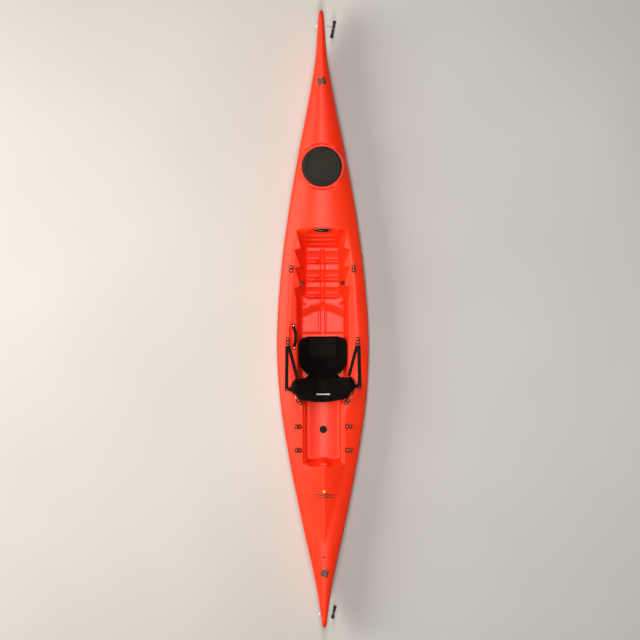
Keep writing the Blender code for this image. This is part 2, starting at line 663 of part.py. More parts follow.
def back_surface(x, share, depth):
    """A point on the backrest's front face, moved back by depth."""
    y = BACK_FOOT[0] + (BACK_TOP[0] - BACK_FOOT[0]) * share
    z = BACK_FOOT[1] + (BACK_TOP[1] - BACK_FOOT[1]) * share
    out = abs(x) / WING_X
    wing = out**1.5 if out < 1 else 1 - 2.4 * (out - 1)
    reach = WING_REACH * wing * math.sin(math.pi * min(share / WING_SHARE, 1.0) / 2)
    reach *= 1 - 0.9 * max(share - WING_SHARE, 0) / (1 - WING_SHARE)
    lean = Vector((0, BACK_TOP[0] - BACK_FOOT[0], BACK_TOP[1] - BACK_FOOT[1])).normalized()
    back = Vector((0, -lean.z, lean.y))
    inward = Vector((-0.5 * math.copysign(min(out, 1.0) ** 1.4, x), 0, 0))
    normal = (back - inward).normalized()
    return Vector((x, y + reach + 0.06 * x * (abs(x) / 0.25) ** 2, z)) + normal * depth


def back_sheet(name, front, back, trim, columns=11):
    """A closed sheet between two depths behind the backrest's face, trimmed by whole rows and columns."""
    rings = []
    for share, half in BACK_ROWS[trim:len(BACK_ROWS) - trim]:
        xs = [half * (2 * k / (columns - 1) - 1) for k in range(trim, columns - trim)]
        face = [back_surface(x, share, front) for x in xs]
        rear = [back_surface(x, share, back) for x in reversed(xs)]
        rings.append(face + rear)
    return loft(name, rings)


def make_backrest():
    axis = axis_empty("backrest_axis", (0, BACK_FOOT[0] - 0.014, BACK_FOOT[1]))
    pad = back_sheet("backrest_pad", 0.0, BACK_PAD_THICK, 0)
    link("backrest_pad", pad, "seat_fabric", axis)
    first = BACK_PAD_THICK + BACK_LAYER_GAP
    board = back_sheet("backrest_board", first, first + BACK_BOARD_THICK, 1)
    link("backrest_board", board, "black_plastic", axis)
    face = -0.0015
    corners = ((-0.045, face - 0.001), (0.045, face - 0.001), (0.045, face), (-0.045, face))
    rows = [[back_surface(x, share, depth) for x, depth in corners] for share in (0.74, 0.80)]
    link("backrest_patch", loft("backrest_patch", rows, smooth=False), "patch", axis)
    return axis


def make_straps(axis):
    hooks = {name: (spot, heading) for name, spot, heading in eye_places() if name.startswith("seat")}
    for side, sign in (("starboard", 1), ("port", -1)):
        spot, heading = hooks[f"seat_front_{side}"]
        ahead = heading.normalized()
        start = spot + ahead * 0.010 + Vector((0, 0, HOOK_HIGH + WIRE_R + 0.0030))
        buckle = back_surface(sign * 0.216, 0.64, 0.012) + Vector((sign * 0.0285, -0.0145, 0.002))
        make_buckle(f"strap_buckle_{side}", buckle, sign, axis)
        end = buckle + Vector((0, 0.0155, 0))
        make_strap(f"front_strap_outer_{side}", start + Vector((sign * 0.006, 0, 0.005)), end, 0.024, axis)
        low_end = back_surface(sign * 0.178, 0.50, 0.0) + Vector((0, 0.010, 0))
        make_strap(f"front_strap_inner_{side}", start + Vector((sign * -0.006, 0, 0)), low_end, 0.022, axis)
        spot, heading = hooks[f"seat_rear_{side}"]
        ahead = heading.normalized()
        start = spot + ahead * (HOOK_LENGTH + 0.0105) + Vector((0, 0, 0.0135))
        end = back_surface(sign * 0.192, 0.52, 0.036) + Vector((sign * 0.003, -0.003, 0))
        make_strap(f"rear_strap_{side}", start, end, 0.018, axis, across=(0.2, 0.1, 1.0))


def make_buckle(name, centre, sign, axis):
    """A ladder buckle: a flat frame with two slots and a middle bar."""
    half_x, half_y, thick = 0.013, 0.014, 0.004
    outline = [(-half_x, -half_y), (half_x, -half_y), (half_x, half_y), (-half_x, half_y)]
    place = Matrix.Translation(centre)
    frame = link(name, slab(name, outline, -thick / 2, thick / 2, smooth=False), "black_plastic", axis, place)
    for k, y in enumerate((-0.006, 0.006)):
        slot = slab(f"{name}_slot_{k}", [(-0.009, y - 0.0028), (0.009, y - 0.0028), (0.009, y + 0.0028),
                                         (-0.009, y + 0.0028)], -thick, thick, smooth=False)
        boolean(frame, link(f"{name}_slot_{k}", slot, None, axis, place), "DIFFERENCE")


def make_strap(name, start, end, width, axis, across=(1.0, 0.0, 0.0)):
    sag = Vector((0, 0, -0.03 * (end - start).length))
    path = [start.lerp(end, k / 4) + sag * (4 * (k / 4) * (1 - k / 4)) for k in range(5)]
    mesh = ribbon(name, path, Vector(across), width, STRAP_THICK)
    link(name, mesh, "webbing", axis)


def make_side_strap():
    """The webbing loop beside the port thigh, with a cap screw at each end."""
    ends = (Vector((-0.201, -0.032, 0)), Vector((-0.198, -0.206, 0)))
    heights = [max(float(deck(p.x + dx, p.y + dy)) for dx in (-0.013, 0, 0.013) for dy in (-0.013, 0, 0.013))
               for p in ends]
    path = []
    for k in range(9):
        t = k / 8
        level = min(max((t - 0.125) / 0.75, 0), 1)  # the first and last stretch lie flat
        rise = 4 * level * (1 - level)
        flat = ends[0].lerp(ends[1], t)
        height = heights[0] * (1 - level) + heights[1] * level + 0.003 + 0.020 * rise
        path.append(Vector((flat.x + 0.014 * rise, flat.y, height)))
    link("side_strap", ribbon("side_strap", path, Vector((1, 0, 0)), 0.020, 0.003), "webbing")
    for name, (x, y, z) in (("front", (path[0] + path[1]) / 2), ("rear", (path[-2] + path[-1]) / 2)):
        profile = [(0.0, 0.004), (0.004, 0.0035), (0.006, 0.001), (0.006, 0.0), (0.0, 0.0)]
        link(f"side_strap_screw_{name}", lathe(f"side_strap_screw_{name}", profile, 12), "steel", None,
             Matrix.Translation((x, y, z + 0.0015 + 2 * GAP)))


# ---------------------------------------------------------------- the kayak
def main():
    clear_scene()
    make_hull()
    make_hatch_cover()
    make_drain_plug()
    make_badge()
    make_vent()
    for end in TOGGLES:
        make_toggle(end)
    for name, spot, heading in eye_places():
        make_pad_eye(name, spot, heading)
        if name.startswith("seat"):
            make_hook(name, spot, heading)
    make_seat_pad()
    make_straps(make_backrest())
    make_side_strap()


main()
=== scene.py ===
"""A sit-on-top touring kayak, seen from straight above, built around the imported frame."""
import math

import bmesh
import bpy
import numpy as np
from mathutils import Matrix, Vector
from mathutils.bvhtree import BVHTree


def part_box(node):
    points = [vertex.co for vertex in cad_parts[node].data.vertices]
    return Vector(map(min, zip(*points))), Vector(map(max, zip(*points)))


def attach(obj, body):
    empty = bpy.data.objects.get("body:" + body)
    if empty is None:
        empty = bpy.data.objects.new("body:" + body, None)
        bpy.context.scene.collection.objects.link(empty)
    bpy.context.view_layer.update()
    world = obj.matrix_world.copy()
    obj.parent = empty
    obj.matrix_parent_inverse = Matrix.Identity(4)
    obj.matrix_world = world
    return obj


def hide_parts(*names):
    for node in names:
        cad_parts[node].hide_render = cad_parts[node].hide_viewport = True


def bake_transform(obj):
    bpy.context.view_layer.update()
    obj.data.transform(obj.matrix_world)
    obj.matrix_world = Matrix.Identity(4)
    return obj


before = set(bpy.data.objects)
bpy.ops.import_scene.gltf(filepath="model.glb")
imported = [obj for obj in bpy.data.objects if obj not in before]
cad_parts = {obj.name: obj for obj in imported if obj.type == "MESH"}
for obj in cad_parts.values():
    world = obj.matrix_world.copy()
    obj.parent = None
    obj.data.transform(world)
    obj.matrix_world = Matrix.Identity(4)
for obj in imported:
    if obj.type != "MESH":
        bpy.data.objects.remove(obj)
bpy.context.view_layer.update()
scene = bpy.context.scene
scene.view_settings.view_transform = "Standard"

# ---------------------------------------------------------------- the hull's curves, close to the CAD model's
LENGTH = 4.25
SQUARE_NOSE = 0.2
NOSE_START = 2.06
DECK_EDGE = 0.016
KEEL_FLAT = 0.010
CREASE_SLOPE = 0.25
NOSE_TIPS = (0.235, 0.262)  # height of the stern's and the bow's tip
HALF_BEAM = ((-2.06, 0.020), (-1.94, 0.037), (-1.78, 0.066), (-1.45, 0.139), (-0.95, 0.238),
             (-0.58, 0.294), (-0.25, 0.316), (0.20, 0.298), (0.74, 0.232), (1.11, 0.168),
             (1.48, 0.094), (1.80, 0.040), (2.06, 0.020))
SHEER = ((-2.12, 0.290), (-1.50, 0.262), (-0.60, 0.240), (0.0, 0.236), (0.80, 0.246),
         (1.50, 0.277), (2.12, 0.318))
CROWN = ((-2.12, 0.012), (-1.80, 0.030), (-1.10, 0.060), (-0.30, 0.078), (0.60, 0.080),
         (1.10, 0.070), (1.60, 0.045), (2.12, 0.014))
KEEL = ((-2.12, 0.225), (-2.06, 0.145), (-1.90, 0.055), (-1.60, 0.018), (-1.20, 0.0), (1.10, 0.0),
        (1.60, 0.020), (1.90, 0.070), (2.06, 0.165), (2.12, 0.240))
FULLNESS = ((-2.12, 1.5), (-1.40, 1.8), (-0.60, 2.5), (0.50, 2.5), (1.30, 1.8), (2.12, 1.4))
CREASE = ((-0.66, 0.150), (-0.56, 0.185), (-0.50, 0.215), (-0.35, 0.243), (-0.15, 0.245),
          (0.0, 0.236), (0.33, 0.215), (0.47, 0.196), (0.63, 0.176))
# each foot brace: where its diagonal face starts and ends, and the well's half-widths there
FOOT_BRACES = ((0.1385, 0.195, 0.193, 0.150), (0.281, 0.327, 0.187, 0.149), (0.4015, 0.453, 0.193, 0.147))
WELL_EDGE = [(-1.017, 0.098), (-1.014, 0.112), (-1.008, 0.124), (-0.998, 0.134), (-0.984, 0.141),
             (-0.965, 0.143), (-0.56, 0.143), (-0.50, 0.151), (-0.40, 0.178), (-0.10, 0.180), (0.090, 0.178)]
for face_start, face_end, widest, narrowest in FOOT_BRACES:
    WELL_EDGE += [(face_start, widest), (face_end, narrowest)]
WELL_EDGE += [(0.545, 0.177), (0.575, 0.168), (0.600, 0.150), (0.625, 0.125), (0.640, 0.122)]
WELL_FOOT = ((-1.05, 0.098), (-1.00, 0.118), (-0.95, 0.123), (-0.56, 0.123), (-0.50, 0.129), (-0.40, 0.148),
             (-0.10, 0.150), (0.110, 0.148), (0.175, 0.118), (0.500, 0.112), (0.600, 0.106), (0.640, 0.100))
WELL_FLOOR = ((-1.070, 0.490), (-0.968, 0.206), (-0.56, 0.206), (-0.54, 0.225), (-0.515, 0.225),
              (-0.47, 0.085), (-0.10, 0.085), (-0.09, 0.072), (0.06, 0.072), (0.115, 0.100),
              (0.145, 0.100), (0.155, 0.068), (0.216, 0.093), (0.222, 0.102), (0.262, 0.102),
              (0.270, 0.066), (0.337, 0.094), (0.343, 0.102), (0.388, 0.102), (0.396, 0.066),
              (0.468, 0.096), (0.474, 0.104), (0.500, 0.104), (0.600, 0.268), (0.640, 0.345))
HATCH_Y = 1.046
HATCH_LEDGE = 0.312  # the height of the ledge the cover sits on
HATCH_BORE_R = 0.1145
SCUPPERS = ((-0.141, 0.249), (0.141, 0.249))
TANK_FLOOR = 0.206


def smooth_curve(points, y):
    knots = np.array([p[0] for p in points])
    values = np.array([p[1] for p in points])
    slopes = np.gradient(values, knots)
    y = np.clip(y, knots[0], knots[-1])
    k = np.clip(np.searchsorted(knots, y, side="right") - 1, 0, len(knots) - 2)
    step = knots[k + 1] - knots[k]
    t = (y - knots[k]) / step
    start = values[k] + t * t * (3 - 2 * t) * (values[k + 1] - values[k])
    return start + step * t * (1 - t) * ((1 - t) * slopes[k] - t * slopes[k + 1])


def straight_curve(points, y):
    return np.interp(y, [p[0] for p in points], [p[1] for p in points])


def soft_profile(points, sigma, first, last):
    """A straight-run profile with its corners rounded, as a function of y."""
    step = 0.001
    ys = np.arange(first - 0.05, last + 0.05, step)
    raw = straight_curve(points, ys)
    reach = int(4 * sigma / step)
    kernel = np.exp(-0.5 * (np.arange(-reach, reach + 1) * step / sigma) ** 2)
    kernel /= kernel.sum()
    padded = np.concatenate([np.full(reach, raw[0]), raw, np.full(reach, raw[-1])])
    soft = np.convolve(padded, kernel, "valid")
    return lambda y: np.interp(y, ys, soft)


def ramp(value, low, high):
    """0 below low, 1 above high, and smooth between."""
    t = np.clip((value - low) / (high - low), 0, 1)
    return t * t * (3 - 2 * t)


def bump(value, half):
    """1 at 0, falling smoothly to 0 at plus and minus half."""
    return np.clip(1 - (value / half) ** 2, 0, None) ** 2


def soft_least(a, b, k):
    """The lesser of a and b, rounded where they cross."""
    h = np.clip(0.5 + 0.5 * (b - a) / k, 0, 1)
    return b * (1 - h) + a * h - k * h * (1 - h)


def nose_round(y):
    past = np.clip((np.abs(y) - NOSE_START) / (LENGTH / 2 - NOSE_START), 0, 1)
    return np.sqrt(1 - (1 - SQUARE_NOSE**2) * past**2)


def half_beam(y):
    return smooth_curve(HALF_BEAM, y) * nose_round(y)


def to_tip(values, y):
    tip = np.where(y > 0, NOSE_TIPS[1], NOSE_TIPS[0])
    return tip + (values - tip) * nose_round(y)


def sheer(y):
    return to_tip(smooth_curve(SHEER, y), y)


def keel(y):
    return to_tip(smooth_curve(KEEL, np.clip(y, -NOSE_START, NOSE_START)), y)


def edge_radius(y):
    return np.minimum(DECK_EDGE, 0.25 * half_beam(y))


def crowned_deck(x, y):
    beam = half_beam(y)
    share = np.clip(np.abs(x) / beam, 0, 1)
    crown = smooth_curve(CROWN, y) * nose_round(y)
    radius = edge_radius(y)
    past = np.clip((np.abs(x) - (beam - radius)) / radius, 0, 1)
    edge = radius * (1 - np.sqrt(1 - past**2))
    return sheer(y) + crown * (0.88 * (1 - share**2.6) + 0.12 * (1 - share)) - edge


def crease(y):
    return smooth_curve(CREASE, y)


def plain_deck(x, y):
    """The deck without its recesses: crowned, dished between the creases, and ridged behind the tank well."""
    ridge = 0.011
    reach = crease(y) - np.abs(x)
    soft = 0.5 * (np.sqrt(reach**2 + ridge**2) - np.abs(reach))
    dished = crowned_deck(np.maximum(np.abs(x), crease(y)) + soft, y)
    dished = dished - CREASE_SLOPE * (np.clip(reach, 0, None) + soft)
    share = straight_curve(((-0.66, 0.0), (-0.52, 1.0), (0.45, 1.0), (0.63, 0.0)), y)
    half = np.interp(y, (-1.56, -1.03), (0.0, 0.143)) * (y < -1.0)
    spine = 0.24 * np.clip(half - np.sqrt(x**2 + 0.0015**2), 0, None)
    return (1 - share) * crowned_deck(x, y) + share * dished + spine


STRAP_RECESS = (-0.205, -0.115, 0.032, 0.100, 0.012)  # centre, semi-axes and depth


def deck(x, y):
    """The deck with the hatch's seat, the strap's recess and the grooves at the noses."""
    z = plain_deck(x, y)
    cx, cy, rx, ry, depth = STRAP_RECESS
    away = np.sqrt(((x - cx) / rx) ** 2 + ((y - cy) / ry) ** 2)
    z = z - depth * (1 - ramp(away, 0.55, 1.0))
    for groove in (2.034, -2.046):
        z = z - 0.0022 * bump(y - groove + 2.5 * x**2 * np.sign(groove), 0.0045)
    r = np.sqrt(x**2 + (y - HATCH_Y) ** 2)
    seat = 0.3108 - 0.004 * bump(r - 0.155, 0.008)
    return np.where(r < 0.17, seat + (z - seat) * ramp(r, 0.1525, 0.1625), z)


def bottom(share, y):
    power = smooth_curve(FULLNESS, y)
    low, top = keel(y), sheer(y) - edge_radius(y)
    raised = low + (top - low) * (1 - np.clip(1 - share**power, 0, 1) ** (1 / power))
    z = raised - KEEL_FLAT * (1 - share) * nose_round(y)
    x = share * half_beam(y)
    channel = 0.006 * bump(x - 0.085, 0.024) * ramp(-np.abs(y), -1.15, -0.95)
    return np.maximum(z, 0.0) + channel


floor_profile = soft_profile(WELL_FLOOR, 0.0035, -1.1, 0.7)
edge_profile = soft_profile(WELL_EDGE, 0.0022, -1.1, 0.7)
foot_profile = soft_profile(WELL_FOOT, 0.006, -1.1, 0.7)
BRACE_SLANT = 0.9
BAY_RIBS = (0.421, 0.301, 0.180)
SLOPE_RIBS = (0.572, 0.5445, 0.517)


def slant(x, t):
    """How far forward of its station t the well's wall lies at x: the foot braces slant down the walls."""
    within = straight_curve(((0.02, 0.0), (0.13, 1.0), (0.545, 1.0), (0.66, 0.0)), t)
    return BRACE_SLANT * (np.clip(np.abs(x), 0.108, 0.193) - 0.108) * within


def well_floor(x, t):
    """The wells' floor, with its ribs, ridge, grooves and rounded ends."""
    a = np.abs(x)
    arch = 0.026 * np.clip(a / 0.174, 0, 1) ** 2.5 * ramp(t, 0.54, 0.60)
    front_arc = 0.040 * np.clip(a / 0.12, 0, 1.2) ** 2 * ramp(t, 0.0, 0.03) * (1 - ramp(t, 0.095, 0.12))
    prow = 0.020 * bump(x, 0.052) * (1 - ramp(t, -0.97, -0.94))
    z = floor_profile(t + arch + front_arc - prow)
    corner = np.clip((a - 0.062) / 0.05, 0, 1.3) ** 2.2
    z = z + 0.030 * corner * (1 - ramp(t, -1.00, -0.945)) * (t < -0.9)
    z = z - 0.014 * np.clip((a - 0.014) / 0.096, 0, 1) ** 1.5 * (t < -0.57)
    within = ramp(t, -0.105, -0.085)
    on_main = within * (1 - ramp(t, 0.06, 0.10))
    in_bays = ramp(t, 0.10, 0.14) * (1 - ramp(t, 0.478, 0.492))
    ridge = 1 - ramp(a, 0.0105, 0.0160)
    z = z + ridge * (0.008 * on_main + 0.010 * in_bays)
    wide = np.where(x < 0, 0.034, 0.029)
    groove = ramp(a, 0.013, 0.018) * (1 - ramp(a, wide - 0.006, wide))
    z = z - 0.006 * groove * on_main
    for rib in BAY_RIBS:
        z = z + 0.0040 * bump(t - rib, 0.0075) * ramp(a, 0.018, 0.026) * (1 - ramp(a, 0.10, 0.125))
        notch = bump(t - rib + 0.020, 0.019) * ramp(x, -0.040, -0.036) * (1 - ramp(x, -0.018, -0.014))
        z = z - 0.016 * notch
    for rib in SLOPE_RIBS:
        z = z + 0.0118 * bump(t - rib, 0.0105) * (1 - ramp(a, 0.098, 0.114))
    return z


def stations():
    """Y of every cross-section: closest where the shape changes fastest."""
    tip = LENGTH / 2
    runs = ((-NOSE_START, -2.055, 0.004), (-2.055, -2.03, 0.003), (-2.03, -1.07, 0.012),
            (-1.07, -0.94, 0.0035),
            (-0.94, -0.60, 0.010), (-0.60, -0.44, 0.005), (-0.44, -0.12, 0.008), (-0.12, 0.11, 0.0055),
            (0.11, 0.66, 0.003), (0.66, 0.87, 0.010), (0.87, 1.225, 0.0048), (1.225, 2.02, 0.013),
            (2.02, 2.045, 0.003), (2.045, NOSE_START, 0.004))
    ys = []
    for low, high, step in runs:
        ys.append(np.linspace(low, high, max(int(round((high - low) / step)), 1), endpoint=False))
    ys = np.concatenate(ys)
    nose = NOSE_START + (tip - NOSE_START) * np.sin(np.linspace(0, math.pi / 2, 9))
    return np.concatenate([-nose[:0:-1], ys, nose])


def round_corner(before, corner, after, cut_in, cut_out, count):
    """Points of a curve that takes the place of a corner of the cross-section."""
    def towards(a, b, cut):
        length = np.hypot(b[0] - a[0], b[1] - a[1]) + 1e-9
        share = np.minimum(cut / length, 0.45)
        return a[0] + (b[0] - a[0]) * share, a[1] + (b[1] - a[1]) * share
    start, end = towards(corner, before, cut_in), towards(corner, after, cut_out)
    points = []
    for s in np.linspace(0, 1, count):
        w = ((1 - s) ** 2, 2 * s * (1 - s), s * s)
        points.append(tuple(start[i] * w[0] + corner[i] * w[1] + end[i] * w[2] for i in (0, 1)))
    return points


def half_section(t, sign):
    """X, Y and Z of one side's points at stations t, from the keel over the gunwale to mid-deck."""
    beam, radius = half_beam(t), edge_radius(t)
    power = smooth_curve(FULLNESS, t)
    xs, ys, zs = [], [], []

    def add(x, y, z):
        xs.append(sign * x)
        ys.append(y + 0 * t)
        zs.append(z)

    for angle in np.linspace(0, math.pi / 2, 15):
        share = np.sin(angle) ** (2 / power) if angle > 0 else 0 * t
        add(share * beam, t, bottom(share, t))
    for angle in np.radians((68, 46, 24)):
        x = beam - radius + radius * np.sin(angle)
        add(x, t, deck(sign * x, t))
    edge = np.minimum(edge_profile(t), 0.74 * beam)
    foot = np.minimum(foot_profile(t), np.maximum(0.8 * edge, edge - 0.030))
    fold = np.minimum(np.maximum(crease(t), edge + 0.02), 0.82 * beam)
    lip = edge + np.minimum(0.008, 0.2 * edge)

    def shifted(x):
        outwards = ramp((x - 0.193) / np.maximum(beam - 0.193, 0.01), 0.0, 0.9)
        return t + slant(x, t) * (1 - outwards)

    for s in np.linspace(0, 1, 6)[:-1]:
        x = beam - radius + (fold - beam + radius) * s
        add(x, shifted(x), deck(sign * x, shifted(x)))
    for s in np.linspace(0, 1, 8)[:-1]:
        x = fold + (lip - fold) * s
        add(x, shifted(x), deck(sign * x, shifted(x)))

    in_wells = (t > -1.06) & (t < 0.66)

    def height(x):
        top = deck(sign * x, shifted(x))
        return np.where(in_wells, soft_least(top, well_floor(sign * x, t), 0.007), top)

    tank = ramp(t, -1.06, -1.03) * (1 - ramp(t, -0.575, -0.56))
    top = deck(sign * edge, shifted(edge))
    low = height(foot)
    depth = np.clip(top - low, 0, None)
    ledge = np.minimum(0.013, 0.35 * depth) * tank
    line = [(edge, top)]
    for share, drop in ((0.30 + 0.02 * tank, 0.30 * depth * (1 - tank) + ledge),
                        (0.62 + 0.10 * tank, 0.62 * depth * (1 - tank) + ledge * 1.3)):
        x = edge - share * (edge - foot)
        line.append((x, np.where(depth > 0.002, top - drop, deck(sign * x, shifted(x)))))
    line.append((foot, low))
    outer = (lip, deck(sign * lip, shifted(lip)))
    inner = (foot * 0.8, height(foot * 0.8))
    ring = [outer, *line, inner]
    cuts = ((0.0075, 0.0075, 6), (0.0022, 0.0022, 3), (0.004, 0.004, 3), (0.018, 0.012, 6))
    for k, (cut_in, cut_out, count) in enumerate(cuts):
        for x, z in round_corner(ring[k], ring[k + 1], ring[k + 2], cut_in, cut_out, count):
            last_x = x
            add(x, shifted(x), z)
    near = np.minimum(1.0, last_x / 0.05)
    for s in np.linspace(0, 1, 6)[1:-1]:
        x = last_x + (0.034 * near - last_x) * s
        add(x, shifted(x), height(x))
    for x in (0.034, 0.029, 0.0225, 0.0175, 0.0145, 0.0115, 0.006, 0.0):
        add(x * near, shifted(x * near), height(x * near))
    return np.stack([np.stack(xs), np.stack(ys), np.stack(zs)], -1)  # column, station, xyz


def grid_faces(rows, columns, close):
    """Quads between rows of points; with close, each row joins up round to its start."""
    span = columns if close else columns - 1
    r, c = np.meshgrid(np.arange(rows - 1), np.arange(span), indexing="ij")
    a, b = r * columns + c, r * columns + (c + 1) % columns
    return np.stack([a, b, b + columns, a + columns], -1).reshape(-1, 4)


def as_object(name, mesh, materials, smooth):
    """An object of a mesh, shaded smooth except at edges sharper than an angle in degrees."""
    mesh.shade_smooth()
    mesh.set_sharp_from_angle(angle=math.radians(smooth))
    for material in materials:
        mesh.materials.append(material)
    obj = bpy.data.objects.new(name, mesh)
    scene.collection.objects.link(obj)
    return obj


def mesh_object(name, points, faces, materials=(), smooth=35):
    mesh = bpy.data.meshes.new(name)
    mesh.from_pydata([tuple(p) for p in points], [], [tuple(int(i) for i in f) for f in faces])
    work = bmesh.new()
    work.from_mesh(mesh)
    bmesh.ops.recalc_face_normals(work, faces=work.faces)
    work.to_mesh(mesh)
    work.free()
    return as_object(name, mesh, materials, smooth)


HULL_SHARP = 42  # degrees; the hull's edges sharper than this stay sharp


def hull_mesh(name, materials):
    t = stations()
    right, left = half_section(t, 1), half_section(t, -1)
    ring = np.concatenate([right, left[-2:0:-1]])  # column, station
    points = ring.transpose(1, 0, 2)
    count, size = points.shape[:2]
    faces = [tuple(f) for f in grid_faces(count, size, True)]
    faces.append(tuple(range(size)))
    faces.append(tuple(range((count - 1) * size, count * size)))
    return mesh_object(name, points.reshape(-1, 3), faces, materials, smooth=HULL_SHARP)


# ---------------------------------------------------------------- camera, lights and world
VIEW_HEIGHT = 13.0
VIEW_CENTRE = (-0.0190, -0.0050)
VIEW_ROLL = math.radians(-0.31)
VIEW_WIDTH = 4.397  # what the frame covers at the deck's height
DECK_LEVEL = 0.28


def add_camera():
    data = bpy.data.cameras.new("camera")
    data.sensor_width = 36.0
    data.lens = data.sensor_width * (VIEW_HEIGHT - DECK_LEVEL) / VIEW_WIDTH
    data.clip_end = 100.0
    camera = bpy.data.objects.new("camera", data)
    camera.location = (*VIEW_CENTRE, VIEW_HEIGHT)
    camera.rotation_euler = (0, 0, VIEW_ROLL)
    scene.collection.objects.link(camera)
    scene.camera = camera


def add_light(name, place, aim, size, power, colour=(1, 1, 1)):
    data = bpy.data.lights.new(name, "AREA")
    data.shape = "RECTANGLE"
    data.size, data.size_y = size
    data.energy = power
    data.color = colour
    lamp = bpy.data.objects.new(name, data)
    lamp.location = place
    lamp.rotation_euler = (Vector(aim) - Vector(place)).to_track_quat("-Z", "Y").to_euler()
    scene.collection.objects.link(lamp)


add_camera()
add_light("key_port", (-6.0, 0.4, 3.7), (0, 0, 0.2), (4.2, 6.5), 620, (1.0, 0.93, 0.80))
add_light("fill_starboard", (5.6, -0.5, 3.0), (0, 0, 0.2), (1.6, 6.0), 9)
add_light("overhead", (0.0, 0, 7.5), (0, 0, 0.2), (0.6, 6.4), 520, (1.0, 0.95, 0.87))
world = bpy.data.worlds.new("studio")
world.use_nodes = True
world.node_tree.nodes["Background"].inputs["Color"].default_value = (0.92, 0.95, 1.0, 1.0)
world.node_tree.nodes["Background"].inputs["Strength"].default_value = 0.05
scene.world = world


# ---------------------------------------------------------------- materials
class Shader:
    """A Principled material and short ways to feed it."""

    def __init__(self, name, colour, roughness, metallic=0.0, **constants):
        self.material = bpy.data.materials.new(name)
        self.material.use_nodes = True
        self.tree = self.material.node_tree
        self.shader = self.tree.nodes["Principled BSDF"]
        self.set("Base Color", (*colour, 1.0))
        self.set("Roughness", roughness)
        self.set("Metallic", metallic)
        for key, value in constants.items():
            self.set(key.replace("_", " ").title().replace("Ior", "IOR"), value)

    def feed(self, node, socket, value):
        """Link a node's output, or set a constant."""
        if isinstance(value, bpy.types.NodeSocket):
            self.tree.links.new(value, node.inputs[socket])
        else:
            node.inputs[socket].default_value = value

    def set(self, socket, value):
        self.feed(self.shader, socket, value)

    def node(self, kind, inputs=None, output=0, **settings):
        made = self.tree.nodes.new(kind)
        for key, value in settings.items():
            setattr(made, key, value)
        for key, value in (inputs or {}).items():
            self.feed(made, key, value)
        return made.outputs[output]

    def place(self, scale=(1, 1, 1), turn=(0, 0, 0), kind="Object"):
        source = self.tree.nodes.new("ShaderNodeTexCoord").outputs[kind]
        return self.node("ShaderNodeMapping", {"Vector": source, "Scale": scale, "Rotation": turn})

    def noise(self, scale, detail=2.0, stretch=(1, 1, 1)):
        return self.node("ShaderNodeTexNoise",
                         {"Vector": self.place(stretch), "Scale": scale, "Detail": detail})

    def waves(self, pitch, turn, kind):
        """Bands one pitch apart, in metres."""
        vector = self.place((1, 1, 1), turn, kind)
        return self.node("ShaderNodeTexWave", {"Vector": vector, "Scale": math.tau / (20 * pitch)}, output=1,
                         bands_direction="X")

    def crossed(self, pitch, turns, kind="Object"):
        """Two sets of bands laid over each other."""
        a, b = (self.waves(pitch, turn, kind) for turn in turns)
        return self.maths("MAXIMUM", a, b)

    def map(self, value, low, high, to_low=0.0, to_high=1.0):
        return self.node("ShaderNodeMapRange", {"Value": value, "From Min": low, "From Max": high,
                                                "To Min": to_low, "To Max": to_high})

    def maths(self, operation, a, b=0.0):
        return self.node("ShaderNodeMath", {0: a, 1: b}, operation=operation)

    def mix(self, share, a, b):
        made = self.tree.nodes.new("ShaderNodeMix")
        made.data_type = "RGBA"
        for socket, value in ((0, share), (6, a), (7, b)):
            self.feed(made, socket, (*value, 1.0) if isinstance(value, tuple) else value)
        return made.outputs[2]

    def bump(self, height, distance, strength=1.0, after=None):
        inputs = {"Height": height, "Distance": distance, "Strength": strength}
        if after is not None:
            inputs["Normal"] = after
        normal = self.node("ShaderNodeBump", inputs)
        self.set("Normal", normal)
        return normal


def hull_plastic():
    """Rotomoulded polyethylene: fine pebble, soft colour drift, faint lengthwise scuffs."""
    s = Shader("hull_plastic", (0.86, 0.043, 0.010), 0.38, specular_ior_level=0.23)
    drift = s.map(s.noise(1.7, 3.0), 0.3, 0.7)
    speck = s.map(s.noise(900.0, 1.0), 0.3, 0.7)
    streaks = s.map(s.noise(9.0, 4.0, stretch=(14.0, 0.9, 14.0)), 0.66, 0.74)
    patches = s.map(s.noise(3.0, 2.0), 0.45, 0.65)
    scuffs = s.maths("MULTIPLY", streaks, patches)
    base = s.mix(drift, (0.80, 0.023, 0.004), (0.87, 0.031, 0.006))
    speckled = s.mix(s.maths("MULTIPLY", speck, 0.14), base, (0.92, 0.062, 0.014))
    s.set("Base Color", s.mix(s.maths("MULTIPLY", scuffs, 0.18), speckled, (0.92, 0.24, 0.14)))
    rough = s.map(s.noise(26.0, 3.0), 0.3, 0.7, 0.36, 0.43)
    s.set("Roughness", s.maths("ADD", rough, s.maths("MULTIPLY", scuffs, 0.14)))
    pebble = s.bump(s.noise(420.0, 2.0), 0.0004, 0.28)
    s.bump(s.noise(7.0, 2.0), 0.004, 0.10, pebble)
    return s.material


def moulded(name, colour, roughness, grain=600.0, dust=0.10, shine=0.30):
    """Moulded plastic or rubber with a fine grain and a little dust."""
    s = Shader(name, colour, roughness, specular_ior_level=shine)
    cloud = s.map(s.noise(22.0, 4.0), 0.4, 0.75)
    paler = tuple(1.8 * c + 0.004 for c in colour)
    s.set("Base Color", s.mix(s.maths("MULTIPLY", cloud, dust * 5), colour, paler))
    s.set("Roughness", s.map(s.noise(60.0, 3.0), 0.3, 0.7, roughness - 0.07, roughness + 0.09))
    s.bump(s.noise(grain, 2.0), 0.0003, 0.35)
    return s.material


